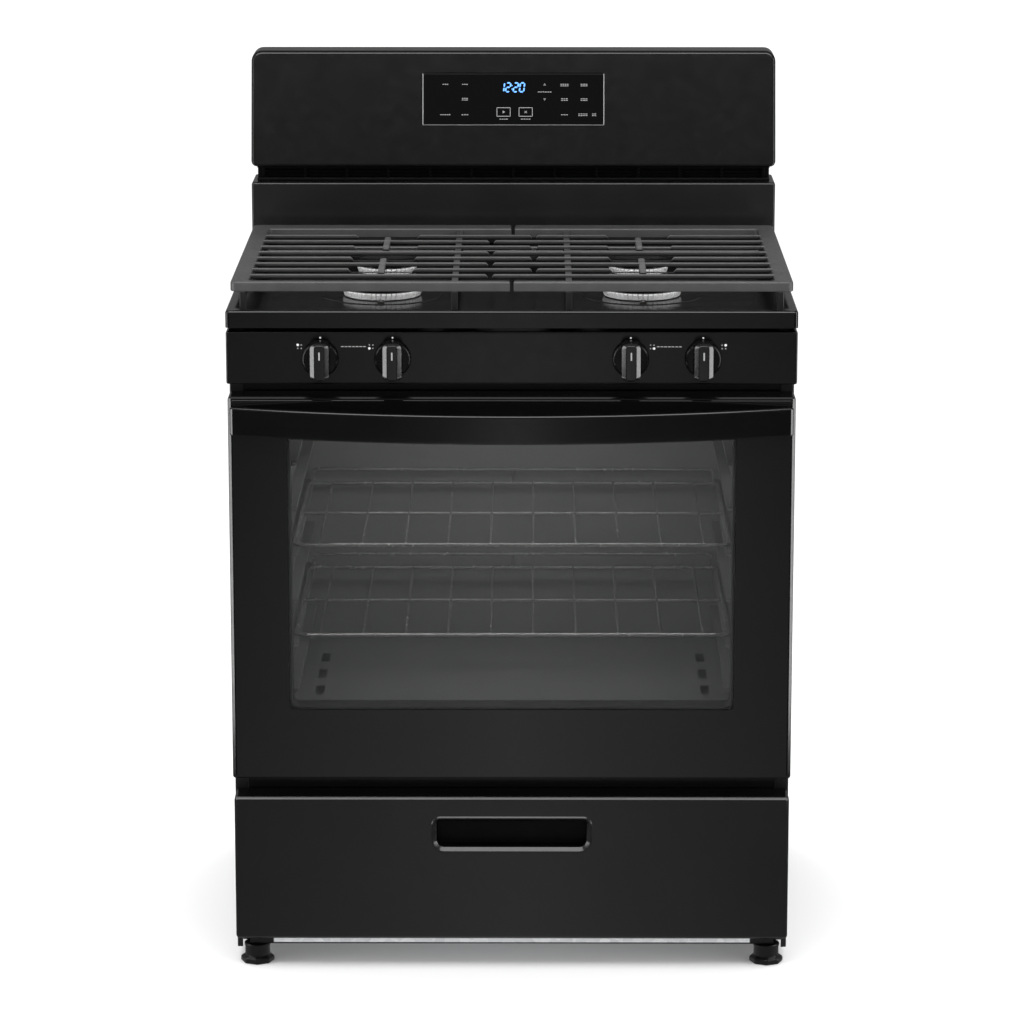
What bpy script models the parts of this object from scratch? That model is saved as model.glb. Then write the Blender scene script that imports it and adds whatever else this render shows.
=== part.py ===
"""Freestanding four-burner gas range with a storage drawer, as a set of closed solids.

Metres, +Z up, the front faces -Y and +X is to the right as seen from the front. The origin is
on the floor under the middle of the whole range. Each object is one physical piece.
"""

import math

import bmesh
import bpy
from mathutils import Matrix, Vector

# ---------------------------------------------------------------- driving dimensions
GAP = 0.0003

HALF_WIDTH = 0.3795
REAR_Y = 0.3675
TOTAL_HEIGHT = 1.191

SIDE_X = 0.378
SIDE_FRONT_Y = -0.245
SIDE_REAR_Y = 0.345
FRAME_REAR_Y = -0.243
SIDE_BOTTOM_Z = 0.018
SIDE_TOP_Z = 0.889
SIDE_FLANGE = 0.018
SHEET = 0.001

COOKTOP_TOP_Z = 0.914
COOKTOP_WELL_Z = 0.905
BOWL_FLOOR_Z = 0.897
BOWL_MARGIN = 0.0185
COOKTOP_LIP_Z = 0.891
COOKTOP_FRONT_Y = -0.290
COOKTOP_REAR_Y = 0.3468
PRESSING = 0.0015
WELL_X = 0.3645
WELL_FRONT_Y = -0.275
WELL_REAR_Y = 0.2647

PANEL_FRONT_Y = -0.284
PANEL_BOTTOM_Z = 0.814
PANEL_TOP_Z = 0.8855

KNOB_X = (-0.254, -0.158, 0.158, 0.254)
KNOB_Z = 0.849
KNOB_SKIRT_RADIUS = 0.0245
KNOB_PUSH = 0.003

DOOR_HALF_WIDTH = 0.3775
DOOR_FRONT_Y = -0.2965
DOOR_REAR_Y = -0.2505
DOOR_BOTTOM_Z = 0.273
DOOR_TOP_Z = 0.799
HINGE_Y = -0.262
HINGE_Z = 0.2845
WINDOW_HALF_WIDTH = 0.296
WINDOW_LOW_Z = 0.372
WINDOW_HIGH_Z = 0.752

HANDLE_HALF_LENGTH = 0.374
HANDLE_LOW_Z = 0.7485
HANDLE_HIGH_Z = 0.7875
HANDLE_THICKNESS = 0.013
HANDLE_END_Y = -0.297
HANDLE_BOW = 0.0575

CAVITY_HALF_WIDTH = 0.305
CAVITY_LOW_Z = 0.298
CAVITY_HIGH_Z = 0.785
CAVITY_REAR_Y = 0.240
LEDGE_REACH = 0.015
LEDGE_TOP_Z = (0.3847, 0.4477, 0.5107, 0.5737, 0.6367, 0.6997)
RACK_Z = {"oven_rack_upper": 0.577, "oven_rack_lower": 0.451}

DRAWER_HALF_WIDTH = 0.3765
DRAWER_LOW_Z = 0.044
DRAWER_HIGH_Z = 0.246
DRAWER_FRONT_Y = -0.292
DRAWER_BACK_Y = -0.2485
PULL_BACK_Y = -0.270
PULL_HALF_WIDTH = 0.1015
PULL_LOW_Z = 0.175
PULL_HIGH_Z = 0.2107

BURNER_X = 0.177
FRONT_BURNER_Y = -0.110
REAR_BURNER_Y = 0.085

GRATE_TOP_Z = 0.949
GRATE_OUTER_X = 0.374
GRATE_FRONT_Y = -0.265
GRATE_REAR_Y = 0.235
GRATE_BAR_PITCH = 0.049
GRATE_LAST_BAR_Y = 0.1395
GRATE_REACH = 0.027
GRATE_SHORT = 0.0325
GRATE_SPLIT = 0.0025
GRATE_RIB_X = 0.076

CONSOLE_LOW_Z = 1.027
CONSOLE_FRONT_LOW_Y = 0.278
CONSOLE_FRONT_HIGH_Y = 0.315
SHELL_REAR_Y = 0.3655
RISER_FRONT_Y = 0.280
RISER_TOP_Z = 1.004
TOUCH_HALF_WIDTH = 0.131
TOUCH_HALF_HEIGHT = 0.0374
TOUCH_CENTRE_Z = 1.1226

LEG_X = 0.350
LEG_FRONT_Y = -0.251
LEG_REAR_Y = 0.300
BASE_LOW_Z = 0.028
BASE_HIGH_Z = 0.0435

# name: (red, green, blue, metallic, roughness)
FINISHES = {
    "black_enamel": (0.012, 0.012, 0.013, 0.0, 0.25),
    "black_glass": (0.02, 0.021, 0.023, 0.0, 0.08),
    "black_plastic": (0.014, 0.014, 0.015, 0.0, 0.38),
    "cast_iron": (0.03, 0.03, 0.032, 0.2, 0.6),
    "grey_enamel": (0.20, 0.20, 0.21, 0.0, 0.4),
    "galvanised": (0.55, 0.56, 0.57, 0.9, 0.45),
    "wire": (0.6, 0.6, 0.61, 1.0, 0.25),
    "brass": (0.65, 0.48, 0.2, 1.0, 0.35),
    "aluminium": (0.72, 0.72, 0.73, 1.0, 0.38),
    "ceramic": (0.85, 0.84, 0.8, 0.0, 0.4),
    "clear_glass": (0.5, 0.52, 0.52, 0.0, 0.05),
    "gasket": (0.1, 0.1, 0.1, 0.0, 0.9),
}


# ---------------------------------------------------------------- scene
for old in list(bpy.data.objects):
    bpy.data.objects.remove(old, do_unlink=True)
bpy.context.scene.unit_settings.scale_length = 1.0

PARTS = bpy.data.collections.new("gas_range")
CUTTERS = bpy.data.collections.new("gas_range_cutters")
for collection in (PARTS, CUTTERS):
    bpy.context.scene.collection.children.link(collection)
CUTTERS.hide_render = True


# ---------------------------------------------------------------- small tools
def box(low, high):
    """A block between two corners."""

    def add(bm):
        size = Vector(high) - Vector(low)
        middle = (Vector(high) + Vector(low)) / 2
        bmesh.ops.create_cube(
            bm, size=1.0, matrix=Matrix.Translation(middle) @ Matrix.Diagonal((*size, 1.0))
        )

    return add


def rod(start, end, radius, segments=16, end_radius=None):
    """A round bar, or a cone where end_radius differs."""

    def add(bm):
        along = Vector(end) - Vector(start)
        turn = along.to_track_quat("Z", "Y").to_matrix().to_4x4()
        bmesh.ops.create_cone(
            bm,
            cap_ends=True,
            cap_tris=False,
            segments=segments,
            radius1=radius,
            radius2=radius if end_radius is None else end_radius,
            depth=along.length,
            matrix=Matrix.Translation((Vector(start) + Vector(end)) / 2) @ turn,
        )

    return add


def prism(outline, direction, low, high):
    """A flat outline pushed along X, Y or Z. The outline's two numbers are the other two axes."""

    def place(first, second, level):
        if direction == "X":
            return (level, first, second)
        if direction == "Y":
            return (first, level, second)
        return (first, second, level)

    def add(bm):
        ring = [bm.verts.new(place(a, b, low)) for a, b in outline]
        face = bm.faces.new(ring)
        shift = Vector(place(0.0, 0.0, high - low))
        made = bmesh.ops.extrude_face_region(bm, geom=[face], use_keep_orig=True)
        moved = [v for v in made["geom"] if isinstance(v, bmesh.types.BMVert)]
        bmesh.ops.translate(bm, verts=moved, vec=shift)
        bmesh.ops.recalc_face_normals(bm, faces=bm.faces[:])

    return add


def rounded_outline(low, high, low_radius, high_radius, steps=4):
    """A rectangle in two numbers whose lower and upper corners have their own radii."""
    corners = (
        (high[0] - low_radius, low[1] + low_radius, -90, low_radius),
        (high[0] - high_radius, high[1] - high_radius, 0, high_radius),
        (low[0] + high_radius, high[1] - high_radius, 90, high_radius),
        (low[0] + low_radius, low[1] + low_radius, 180, low_radius),
    )
    points = []
    for x, y, begin, radius in corners:
        for i in range(steps + 1):
            angle = math.radians(begin + 90 * i / steps)
            points.append((x + radius * math.cos(angle), y + radius * math.sin(angle)))
    return points


def object_from(name, pieces, collection, origin=(0.0, 0.0, 0.0)):
    """One mesh object holding every piece, its origin at the point given."""
    bm = bmesh.new()
    for add in pieces:
        add(bm)
    bmesh.ops.translate(bm, verts=bm.verts, vec=-Vector(origin))
    mesh = bpy.data.meshes.new(name)
    bm.to_mesh(mesh)
    bm.free()
    made = bpy.data.objects.new(name, mesh)
    made.location = origin
    collection.objects.link(made)
    return made


def paint(made, finish):
    """Gives the object its own material."""
    red, green, blue, metallic, roughness = FINISHES[finish]
    material = bpy.data.materials.new(made.name + "_" + finish)
    material.use_nodes = True
    shader = material.node_tree.nodes["Principled BSDF"]
    shader.inputs["Base Color"].default_value = (red, green, blue, 1.0)
    shader.inputs["Metallic"].default_value = metallic
    shader.inputs["Roughness"].default_value = roughness
    material.diffuse_color = (red, green, blue, 1.0)
    made.data.materials.append(material)


def combine(made, operation, pieces):
    """Cuts the pieces from the object, or joins them to it. The pieces don't touch one another."""
    count = len(made.modifiers)
    tool = object_from(f"{made.name}_tool_{count}", pieces, CUTTERS)
    tool.hide_render = True
    tool.display_type = "WIRE"
    boolean = made.modifiers.new(f"{operation.lower()}_{count}", "BOOLEAN")
    boolean.operation = operation
    boolean.solver = "EXACT"
    boolean.object = tool


def node(name, finish, base, *steps, origin=(0.0, 0.0, 0.0)):
    """One physical piece: base pieces, then (CUT or JOIN, pieces) in turn."""
    made = object_from(name, base, PARTS, origin)
    for operation, pieces in steps:
        combine(made, operation, pieces)
    paint(made, finish)
    return made


def round_edges(made, width, segments=2, degrees=40.0):
    bevel = made.modifiers.new("rounding", "BEVEL")
    bevel.width = width
    bevel.segments = segments
    bevel.limit_method = "ANGLE"
    bevel.angle_limit = math.radians(degrees)


def tube(name, finish, path, radius, cyclic=False, ring=1):
    """A round tube along a path, closed at its ends or in a loop."""
    curve = bpy.data.curves.new(name + "_path", "CURVE")
    curve.dimensions = "3D"
    curve.bevel_depth = radius
    curve.bevel_resolution = ring
    curve.use_fill_caps = not cyclic
    spline = curve.splines.new("POLY")
    spline.points.add(len(path) - 1)
    for point, place in zip(spline.points, path):
        point.co = (*place, 1.0)
    spline.use_cyclic_u = cyclic
    guide = bpy.data.objects.new(name + "_guide", curve)
    CUTTERS.objects.link(guide)
    guide.hide_render = True
    bpy.context.view_layer.update()
    graph = bpy.context.evaluated_depsgraph_get()
    mesh = bpy.data.meshes.new_from_object(guide.evaluated_get(graph))
    mesh.name = name
    bm = bmesh.new()
    bm.from_mesh(mesh)
    bmesh.ops.remove_doubles(bm, verts=bm.verts, dist=0.00002)
    bmesh.ops.recalc_face_normals(bm, faces=bm.faces[:])
    bm.to_mesh(mesh)
    bm.free()
    mesh.materials.clear()
    bpy.data.objects.remove(guide, do_unlink=True)
    made = bpy.data.objects.new(name, mesh)
    PARTS.objects.link(made)
    paint(made, finish)
    return made


def bend(corner, radius, start, end, steps=3):
    """Points round a right-angled bend at corner, from the start side to the end side."""
    corner, start, end = Vector(corner), Vector(start), Vector(end)
    into = (corner - start).normalized()
    away = (end - corner).normalized()
    centre = corner - into * radius + away * radius
    points = []
    for i in range(steps + 1):
        angle = math.radians(90 * i / steps)
        points.append(centre - away * radius * math.cos(angle) + into * radius * math.sin(angle))
    return points


CUT = "DIFFERENCE"
JOIN = "UNION"


# ---------------------------------------------------------------- cabinet
def side_panel(name, sign):
    """A sheet side with its edges turned inwards at the front and the back."""
    outer = sign * SIDE_X
    inner = sign * (SIDE_X - SHEET)
    edge = sign * (SIDE_X - SIDE_FLANGE)
    outline = [
        (edge, SIDE_FRONT_Y),
        (outer, SIDE_FRONT_Y),
        (outer, SIDE_REAR_Y),
        (edge, SIDE_REAR_Y),
        (edge, SIDE_REAR_Y - SHEET),
        (inner, SIDE_REAR_Y - SHEET),
        (inner, SIDE_FRONT_Y + SHEET),
        (edge, SIDE_FRONT_Y + SHEET),
    ]
    notch = sorted((sign * 0.350, sign * 0.3705))
    node(
        name,
        "black_enamel",
        [prism(outline, "Z", SIDE_BOTTOM_Z, SIDE_TOP_Z)],
        (CUT, [box((notch[0], -0.260, 0.0), (notch[1], -0.230, BASE_LOW_Z + 0.0005))]),
    )


side_panel("side_panel_left", -1)
side_panel("side_panel_right", 1)

REAR_SHEET_Y = SIDE_REAR_Y + GAP
INLET = Vector((0.335, 0.300, 0.270))
node(
    "rear_panel",
    "galvanised",
    [box((-0.377, REAR_SHEET_Y, 0.055), (0.377, REAR_SHEET_Y + SHEET, SIDE_TOP_Z))],
    (
        CUT,
        [rod((INLET.x, 0.33, INLET.z), (INLET.x, 0.36, INLET.z), 0.019, 20)]
        + [
            box((x - 0.045, 0.33, z), (x + 0.045, 0.36, z + 0.006))
            for x in (-0.15, 0.0, 0.15)
            for z in (0.800, 0.820, 0.840)
        ],
    ),
)

leg_places = [(x, y) for x in (-LEG_X, LEG_X) for y in (LEG_FRONT_Y, LEG_REAR_Y)]
node(
    "base_frame",
    "galvanised",
    [box((-0.3595, -0.262, BASE_LOW_Z), (0.3595, 0.343, BASE_HIGH_Z))],
    (CUT, [box((-0.3575, -0.260, 0.0305), (0.3575, 0.341, 0.06))]),
    (CUT, [box((-0.336, -0.240, 0.02), (0.336, 0.321, 0.06))]),
    (
        JOIN,
        [
            box((sign * 0.341 - 0.003, -0.235, 0.0295), (sign * 0.341 + 0.003, 0.310, 0.0515))
            for sign in (-1, 1)
        ],
    ),
    (CUT, [rod((x, y, 0.02), (x, y, 0.035), 0.0048, 8) for x, y in leg_places]),
)

node(
    "front_frame",
    "black_enamel",
    [box((-0.3595, SIDE_FRONT_Y, 0.210), (0.3595, FRAME_REAR_Y, 0.8135))],
    (
        CUT,
        [
            box(
                (-CAVITY_HALF_WIDTH, -0.26, CAVITY_LOW_Z),
                (CAVITY_HALF_WIDTH, -0.22, CAVITY_HIGH_Z),
            )
        ],
    ),
    (
        JOIN,
        [
            box((sign * 0.356 - 0.0015, -0.2625, 0.2785), (sign * 0.356 + 0.0015, -0.2436, 0.2905))
            for sign in (-1, 1)
        ],
    ),
    (
        JOIN,
        [
            rod((sign * 0.3546, HINGE_Y, HINGE_Z), (sign * 0.3574, HINGE_Y, HINGE_Z), 0.008, 16)
            for sign in (-1, 1)
        ],
    ),
    (
        CUT,
        [
            rod((sign * 0.352, HINGE_Y, HINGE_Z), (sign * 0.360, HINGE_Y, HINGE_Z), 0.00408, 24)
            for sign in (-1, 1)
        ],
    ),
)


# ---------------------------------------------------------------- oven
def cavity_outline():
    """The inside of the oven seen from the front, with the rack ledges on both sides."""
    right = [(CAVITY_HALF_WIDTH, CAVITY_LOW_Z)]
    for top in LEDGE_TOP_Z:
        right += [
            (CAVITY_HALF_WIDTH, top - 0.007),
            (CAVITY_HALF_WIDTH - LEDGE_REACH, top - 0.004),
            (CAVITY_HALF_WIDTH - LEDGE_REACH, top),
            (CAVITY_HALF_WIDTH, top),
        ]
    right.append((CAVITY_HALF_WIDTH, CAVITY_HIGH_Z))
    return right + [(-x, z) for x, z in reversed(right)]


node(
    "oven_cavity",
    "grey_enamel",
    [
        box(
            (-CAVITY_HALF_WIDTH - SHEET, FRAME_REAR_Y + GAP, CAVITY_LOW_Z - SHEET),
            (CAVITY_HALF_WIDTH + SHEET, CAVITY_REAR_Y + SHEET, CAVITY_HIGH_Z + SHEET),
        )
    ],
    (CUT, [prism(cavity_outline(), "Y", -0.26, CAVITY_REAR_Y)]),
)

FLOOR_Z = 0.335
node(
    "oven_floor",
    "grey_enamel",
    [box((-0.3035, -0.232, CAVITY_LOW_Z + GAP), (0.3035, 0.232, FLOOR_Z + SHEET))],
    (CUT, [box((-0.3025, -0.24, 0.28), (0.3025, 0.24, FLOOR_Z))]),
    (
        CUT,
        [
            box((sign * 0.27 - 0.006, y, 0.32), (sign * 0.27 + 0.006, y + 0.05, 0.35))
            for sign in (-1, 1)
            for y in (-0.18, -0.09, 0.0, 0.09)
        ],
    ),
)

BAKE_Z = 0.3165
bake_path = [(-0.12, 0.2385, BAKE_Z)]
bake_path += bend((-0.12, -0.14, BAKE_Z), 0.05, (-0.12, 0.22, BAKE_Z), (0.12, -0.14, BAKE_Z))
bake_path += bend((0.12, -0.14, BAKE_Z), 0.05, (-0.12, -0.14, BAKE_Z), (0.12, 0.22, BAKE_Z))
bake_path.append((0.12, 0.2385, BAKE_Z))
tube("bake_burner", "galvanised", bake_path, 0.010)

node(
    "broil_burner",
    "galvanised",
    [box((-0.12, -0.17, 0.758), (0.12, 0.15, 0.774))],
    (JOIN, [rod((0.0, 0.14, 0.766), (0.0, CAVITY_REAR_Y - GAP, 0.766), 0.006, 12)]),
    (
        JOIN,
        [
            box((x - 0.006, y - 0.01, 0.770), (x + 0.006, y + 0.01, CAVITY_HIGH_Z - GAP))
            for x in (-0.09, 0.09)
            for y in (-0.14, 0.12)
        ],
    ),
    (CUT, [box((-0.1185, -0.1685, 0.750), (0.1185, 0.1485, 0.7725))]),
    (
        JOIN,
        [
            box((x - 0.008, -0.1692, 0.762), (x + 0.008, 0.1492, 0.7732))
            for x in (-0.07, 0.0, 0.07)
        ],
    ),
)

GASKET_Y = -0.24765
gasket_corners = [(-0.311, 0.2915), (0.311, 0.2915), (0.311, 0.790), (-0.311, 0.790)]
gasket_path = []
for i, (x, z) in enumerate(gasket_corners):
    before = gasket_corners[i - 1]
    after = gasket_corners[(i + 1) % 4]
    gasket_path += bend(
        (x, GASKET_Y, z), 0.012, (before[0], GASKET_Y, before[1]), (after[0], GASKET_Y, after[1])
    )
tube("oven_gasket", "gasket", gasket_path, 0.00225, cyclic=True)


def oven_rack(name, level):
    """A wire shelf: a rim, a middle cross wire, ten lengthwise wires and a raised rear stop."""
    side, front, rear, middle = 0.296, -0.205, 0.195, -0.005
    stop_z = level + 0.022
    runs = [-0.261 + 0.058 * i for i in range(10)]
    posts = (-0.29, 0.0, 0.29)

    def wire(x, y, z):
        """A straight wire from its ranges along each axis."""
        return box((x[0], y[0], z[0]), (x[1], y[1], z[1]))

    def across(y, half_thickness, low, high, reach=side):
        return wire((-reach, reach), (y - half_thickness, y + half_thickness), (low, high))

    def along(x, half_thickness, near, far, low, high):
        return wire((x - half_thickness, x + half_thickness), (near, far), (low, high))

    rim = wire((-side - 0.003, side + 0.003), (front - 0.003, rear + 0.003), (level - 0.003, level + 0.003))
    hole = wire((-side + 0.003, side - 0.003), (front + 0.003, rear - 0.003), (level - 0.01, level + 0.01))
    node(
        name,
        "wire",
        [rim],
        (CUT, [hole]),
        (
            JOIN,
            [along(x, 0.0018, front - 0.001, rear + 0.001, level - 0.0005, level + 0.0042) for x in runs],
        ),
        (JOIN, [across(middle, 0.0025, level - 0.0024, level + 0.0022, side + 0.001)]),
        (
            JOIN,
            [along(x, 0.0022, rear - 0.0018, rear + 0.0022, level - 0.001, stop_z) for x in posts],
        ),
        (JOIN, [across(rear + 0.0001, 0.0025, stop_z - 0.003, stop_z + 0.002, 0.294)]),
        origin=(0.0, front, level),
    )


for rack, level in RACK_Z.items():
    oven_rack(rack, level)


# ---------------------------------------------------------------- cooktop and burners
burner_places = [
    ("front_left", -BURNER_X, FRONT_BURNER_Y, 0.0545),
    ("front_right", BURNER_X, FRONT_BURNER_Y, 0.0545),
    ("rear_left", -BURNER_X, REAR_BURNER_Y, 0.0425),
    ("rear_right", BURNER_X, REAR_BURNER_Y, 0.0425),
]
BURNER_HOLE = 0.030
SPARK_OFFSET = 0.009

node(
    "cooktop",
    "black_enamel",
    [
        box(
            (-HALF_WIDTH, COOKTOP_FRONT_Y, COOKTOP_LIP_Z),
            (HALF_WIDTH, COOKTOP_REAR_Y, COOKTOP_TOP_Z),
        )
    ],
    (
        CUT,
        [
            box(
                (-HALF_WIDTH + PRESSING, COOKTOP_FRONT_Y + PRESSING, 0.88),
                (HALF_WIDTH - PRESSING, COOKTOP_REAR_Y - PRESSING, COOKTOP_TOP_Z - PRESSING),
            )
        ],
    ),
    (
        JOIN,
        [
            box(
                (-WELL_X - PRESSING, WELL_FRONT_Y - PRESSING, COOKTOP_WELL_Z - PRESSING),
                (WELL_X + PRESSING, WELL_REAR_Y + PRESSING, COOKTOP_TOP_Z - 0.0005),
            )
        ],
    ),
    (CUT, [box((-WELL_X, WELL_FRONT_Y, COOKTOP_WELL_Z), (WELL_X, WELL_REAR_Y, 0.93))]),
    (
        JOIN,
        [
            rod(
                (x, y, BOWL_FLOOR_Z - PRESSING),
                (x, y, COOKTOP_WELL_Z - 0.0005),
                crown + BOWL_MARGIN + PRESSING,
                32,
            )
            for _, x, y, crown in burner_places
        ],
    ),
    (
        CUT,
        [
            rod((x, y, BOWL_FLOOR_Z), (x, y, 0.93), crown + BOWL_MARGIN, 32)
            for _, x, y, crown in burner_places
        ],
    ),
    (
        CUT,
        [
            rod((x, y, 0.88), (x, y, 0.93), BURNER_HOLE + 0.0005, 16)
            for _, x, y, _ in burner_places
        ],
    ),
)

for label, x, y, crown in burner_places:
    body = crown - 0.0085
    node(
        "burner_head_" + label,
        "aluminium",
        [rod((x, y, BOWL_FLOOR_Z + GAP), (x, y, 0.908), body - 0.002, 24, body)],
        (JOIN, [rod((x, y, 0.882), (x, y, 0.907), BURNER_HOLE - 0.003, 16)]),
        (JOIN, [rod((x, y, 0.9065), (x, y, 0.9165), crown - 0.002, 24, crown)]),
        (CUT, [rod((x, y, 0.870), (x, y, 0.9125), BURNER_HOLE - 0.006, 16)]),
    )
    cap = node(
        "burner_cap_" + label,
        "black_enamel",
        [rod((x, y, 0.9168), (x, y, 0.926), crown - 0.001, 24, crown - 0.004)],
        origin=(x, y, 0.9168),
    )
    round_edges(cap, 0.002, 1, 50.0)
    node(
        "spark_electrode_" + label,
        "ceramic",
        [
            rod(
                (x, y - crown - SPARK_OFFSET, BOWL_FLOOR_Z + GAP),
                (x, y - crown - SPARK_OFFSET, 0.9095),
                0.0045,
                12,
            )
        ],
        (
            JOIN,
            [
                rod(
                    (x, y - crown - SPARK_OFFSET, 0.9085),
                    (x, y - crown - SPARK_OFFSET, 0.916),
                    0.0013,
                    8,
                )
            ],
        ),
    )


def grate(name, sign):
    """Half of the cooking surface: rails, a rib, feet and fingers that reach past the middle in turn."""
    well = COOKTOP_WELL_Z + GAP
    rail_low = 0.9355

    def span(near, far):
        return (min(sign * near, sign * far), max(sign * near, sign * far))

    def bar(near, far, front, rear, low, high):
        x = span(near, far)
        return box((x[0], front, low), (x[1], rear, high))

    fingers = []
    for i in range(8):
        y = GRATE_LAST_BAR_Y - GRATE_BAR_PITCH * i
        far_left = i % 2 == 0
        reach = -GRATE_REACH if (sign < 0) == far_left else GRATE_SHORT
        fingers.append((y, reach))
    solid = [bar(GRATE_SPLIT, GRATE_OUTER_X, GRATE_FRONT_Y, GRATE_REAR_Y, rail_low, GRATE_TOP_Z)]
    hollow = [bar(-0.01, 0.350, -0.253, 0.200, 0.92, 0.96)]
    node(
        name,
        "cast_iron",
        solid,
        (CUT, hollow),
        (
            JOIN,
            [
                bar(reach, 0.352, y - 0.0045, y + 0.0045, 0.9432, GRATE_TOP_Z - 0.0004)
                for y, reach in fingers
            ],
        ),
        (
            JOIN,
            [bar(GRATE_RIB_X - 0.0045, GRATE_RIB_X + 0.0045, -0.2545, 0.2015, 0.9370, 0.9455)]
            + [
                bar(BURNER_X - 0.0045, BURNER_X + 0.0045, y - half, y + half, 0.9392, 0.9472)
                for y, half in ((FRONT_BURNER_Y, 0.061), (REAR_BURNER_Y, 0.049))
            ],
        ),
        (
            JOIN,
            [
                bar(x - 0.005, x + 0.005, y - 0.005, y + 0.005, well, 0.9365)
                for x in (0.3575, GRATE_RIB_X)
                for y in (-0.2595, 0.2175)
            ],
        ),
        origin=(sign * 0.190, 0.0, rail_low),
    )


grate("grate_left", -1)
grate("grate_right", 1)


# ---------------------------------------------------------------- control panel, valves and knobs
node(
    "manifold_panel",
    "black_enamel",
    [box((-HALF_WIDTH, PANEL_FRONT_Y, PANEL_BOTTOM_Z), (HALF_WIDTH, -0.2455, PANEL_TOP_Z))],
    (
        CUT,
        [
            box(
                (-HALF_WIDTH + 0.002, PANEL_FRONT_Y + 0.002, PANEL_BOTTOM_Z + 0.002),
                (HALF_WIDTH - 0.002, -0.23, PANEL_TOP_Z - 0.002),
            )
        ],
    ),
    (CUT, [rod((x, -0.29, KNOB_Z), (x, -0.28, KNOB_Z), 0.0065, 20) for x in KNOB_X]),
)

MANIFOLD_Y = -0.2225
manifold_path = [(-0.290, MANIFOLD_Y, KNOB_Z)]
manifold_path += bend(
    (INLET.x, MANIFOLD_Y, KNOB_Z), 0.03, (0.0, MANIFOLD_Y, KNOB_Z), (INLET.x, 0.2, KNOB_Z)
)
manifold_path += bend(
    (INLET.x, INLET.y, KNOB_Z), 0.03, (INLET.x, 0.0, KNOB_Z), (INLET.x, INLET.y, 0.4)
)
manifold_path.append((INLET.x, INLET.y, INLET.z + 0.0353))
tube("gas_manifold", "aluminium", manifold_path, 0.010)

STEM_IN_VALVE = 0.004
VALVE_FRONT_Y = -0.2695
for number, x in enumerate(KNOB_X, 1):
    valve_rear = MANIFOLD_Y - 0.0103
    node(
        f"gas_valve_{number}",
        "brass",
        [box((x - 0.012, -0.262, KNOB_Z - 0.014), (x + 0.012, valve_rear, KNOB_Z + 0.014))],
        (JOIN, [rod((x, -0.2615, KNOB_Z), (x, VALVE_FRONT_Y, KNOB_Z), 0.009, 20)]),
        (CUT, [rod((x, -0.280, KNOB_Z), (x, VALVE_FRONT_Y + 0.012, KNOB_Z), 0.00408, 24)]),
    )
    node(
        f"valve_stem_{number}",
        "aluminium",
        [rod((x, VALVE_FRONT_Y + STEM_IN_VALVE, KNOB_Z), (x, -0.307, KNOB_Z), 0.004, 24)],
        origin=(x, VALVE_FRONT_Y, KNOB_Z),
    )
    skirt_rear = PANEL_FRONT_Y - KNOB_PUSH - 0.0005
    blade_low, blade_high = KNOB_Z - 0.026, KNOB_Z + 0.026
    node(
        f"knob_{number}",
        "black_plastic",
        [
            rod(
                (x, skirt_rear, KNOB_Z),
                (x, skirt_rear - 0.007, KNOB_Z),
                KNOB_SKIRT_RADIUS,
                32,
                KNOB_SKIRT_RADIUS - 0.002,
            )
        ],
        (
            JOIN,
            [
                prism(
                    rounded_outline((x - 0.0135, blade_low), (x + 0.0135, blade_high), 0.009, 0.009, 3),
                    "Y",
                    skirt_rear - 0.031,
                    skirt_rear - 0.005,
                )
            ],
        ),
        (CUT, [rod((x, -0.28, KNOB_Z), (x, -0.3075, KNOB_Z), 0.00408, 24)]),
        origin=(x, skirt_rear, KNOB_Z),
    )

node(
    "pressure_regulator",
    "aluminium",
    [
        box(
            (INLET.x - 0.026, INLET.y - 0.026, INLET.z - 0.035),
            (INLET.x + 0.026, INLET.y + 0.026, INLET.z + 0.035),
        )
    ],
    (JOIN, [rod((INLET.x, INLET.y - 0.02, INLET.z), (INLET.x, 0.352, INLET.z), 0.015, 24)]),
    (JOIN, [rod((INLET.x, INLET.y, INLET.z - 0.03), (INLET.x, INLET.y, INLET.z - 0.055), 0.020, 20)]),
    (CUT, [rod((INLET.x, 0.330, INLET.z), (INLET.x, 0.36, INLET.z), 0.0095, 24)]),
)


# ---------------------------------------------------------------- backguard and console
node(
    "backguard_riser",
    "black_enamel",
    [box((-HALF_WIDTH, RISER_FRONT_Y, COOKTOP_TOP_Z + 0.0005), (HALF_WIDTH, SHELL_REAR_Y, RISER_TOP_Z))],
    (
        CUT,
        [
            box(
                (-HALF_WIDTH + 0.0015, RISER_FRONT_Y + 0.0015, 0.90),
                (HALF_WIDTH - 0.0015, 0.38, RISER_TOP_Z - 0.0015),
            )
        ],
    ),
)

node(
    "vent_trim",
    "black_plastic",
    [box((-0.372, 0.296, RISER_TOP_Z + GAP), (0.372, 0.3652, CONSOLE_LOW_Z - GAP))],
    (
        CUT,
        [
            box((-0.360 + 0.0605 * i, 0.28, RISER_TOP_Z + 0.005), (-0.3085 + 0.0605 * i, 0.310, 1.022))
            for i in range(12)
        ],
    ),
)

LEAN = math.atan2(CONSOLE_FRONT_HIGH_Y - CONSOLE_FRONT_LOW_Y, TOTAL_HEIGHT - CONSOLE_LOW_Z)
FACE_Y = CONSOLE_FRONT_LOW_Y + (TOUCH_CENTRE_Z - CONSOLE_LOW_Z) * math.tan(LEAN)
ON_FACE = Matrix.Translation((0.0, FACE_Y, TOUCH_CENTRE_Z)) @ Matrix.Rotation(-LEAN, 4, "X")


def on_face(add):
    """A piece drawn on an upright face, moved to the console's leaning face."""

    def moved(bm):
        before = set(bm.verts)
        add(bm)
        fresh = [v for v in bm.verts if v not in before]
        bmesh.ops.transform(bm, matrix=ON_FACE, verts=fresh)

    return moved


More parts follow.
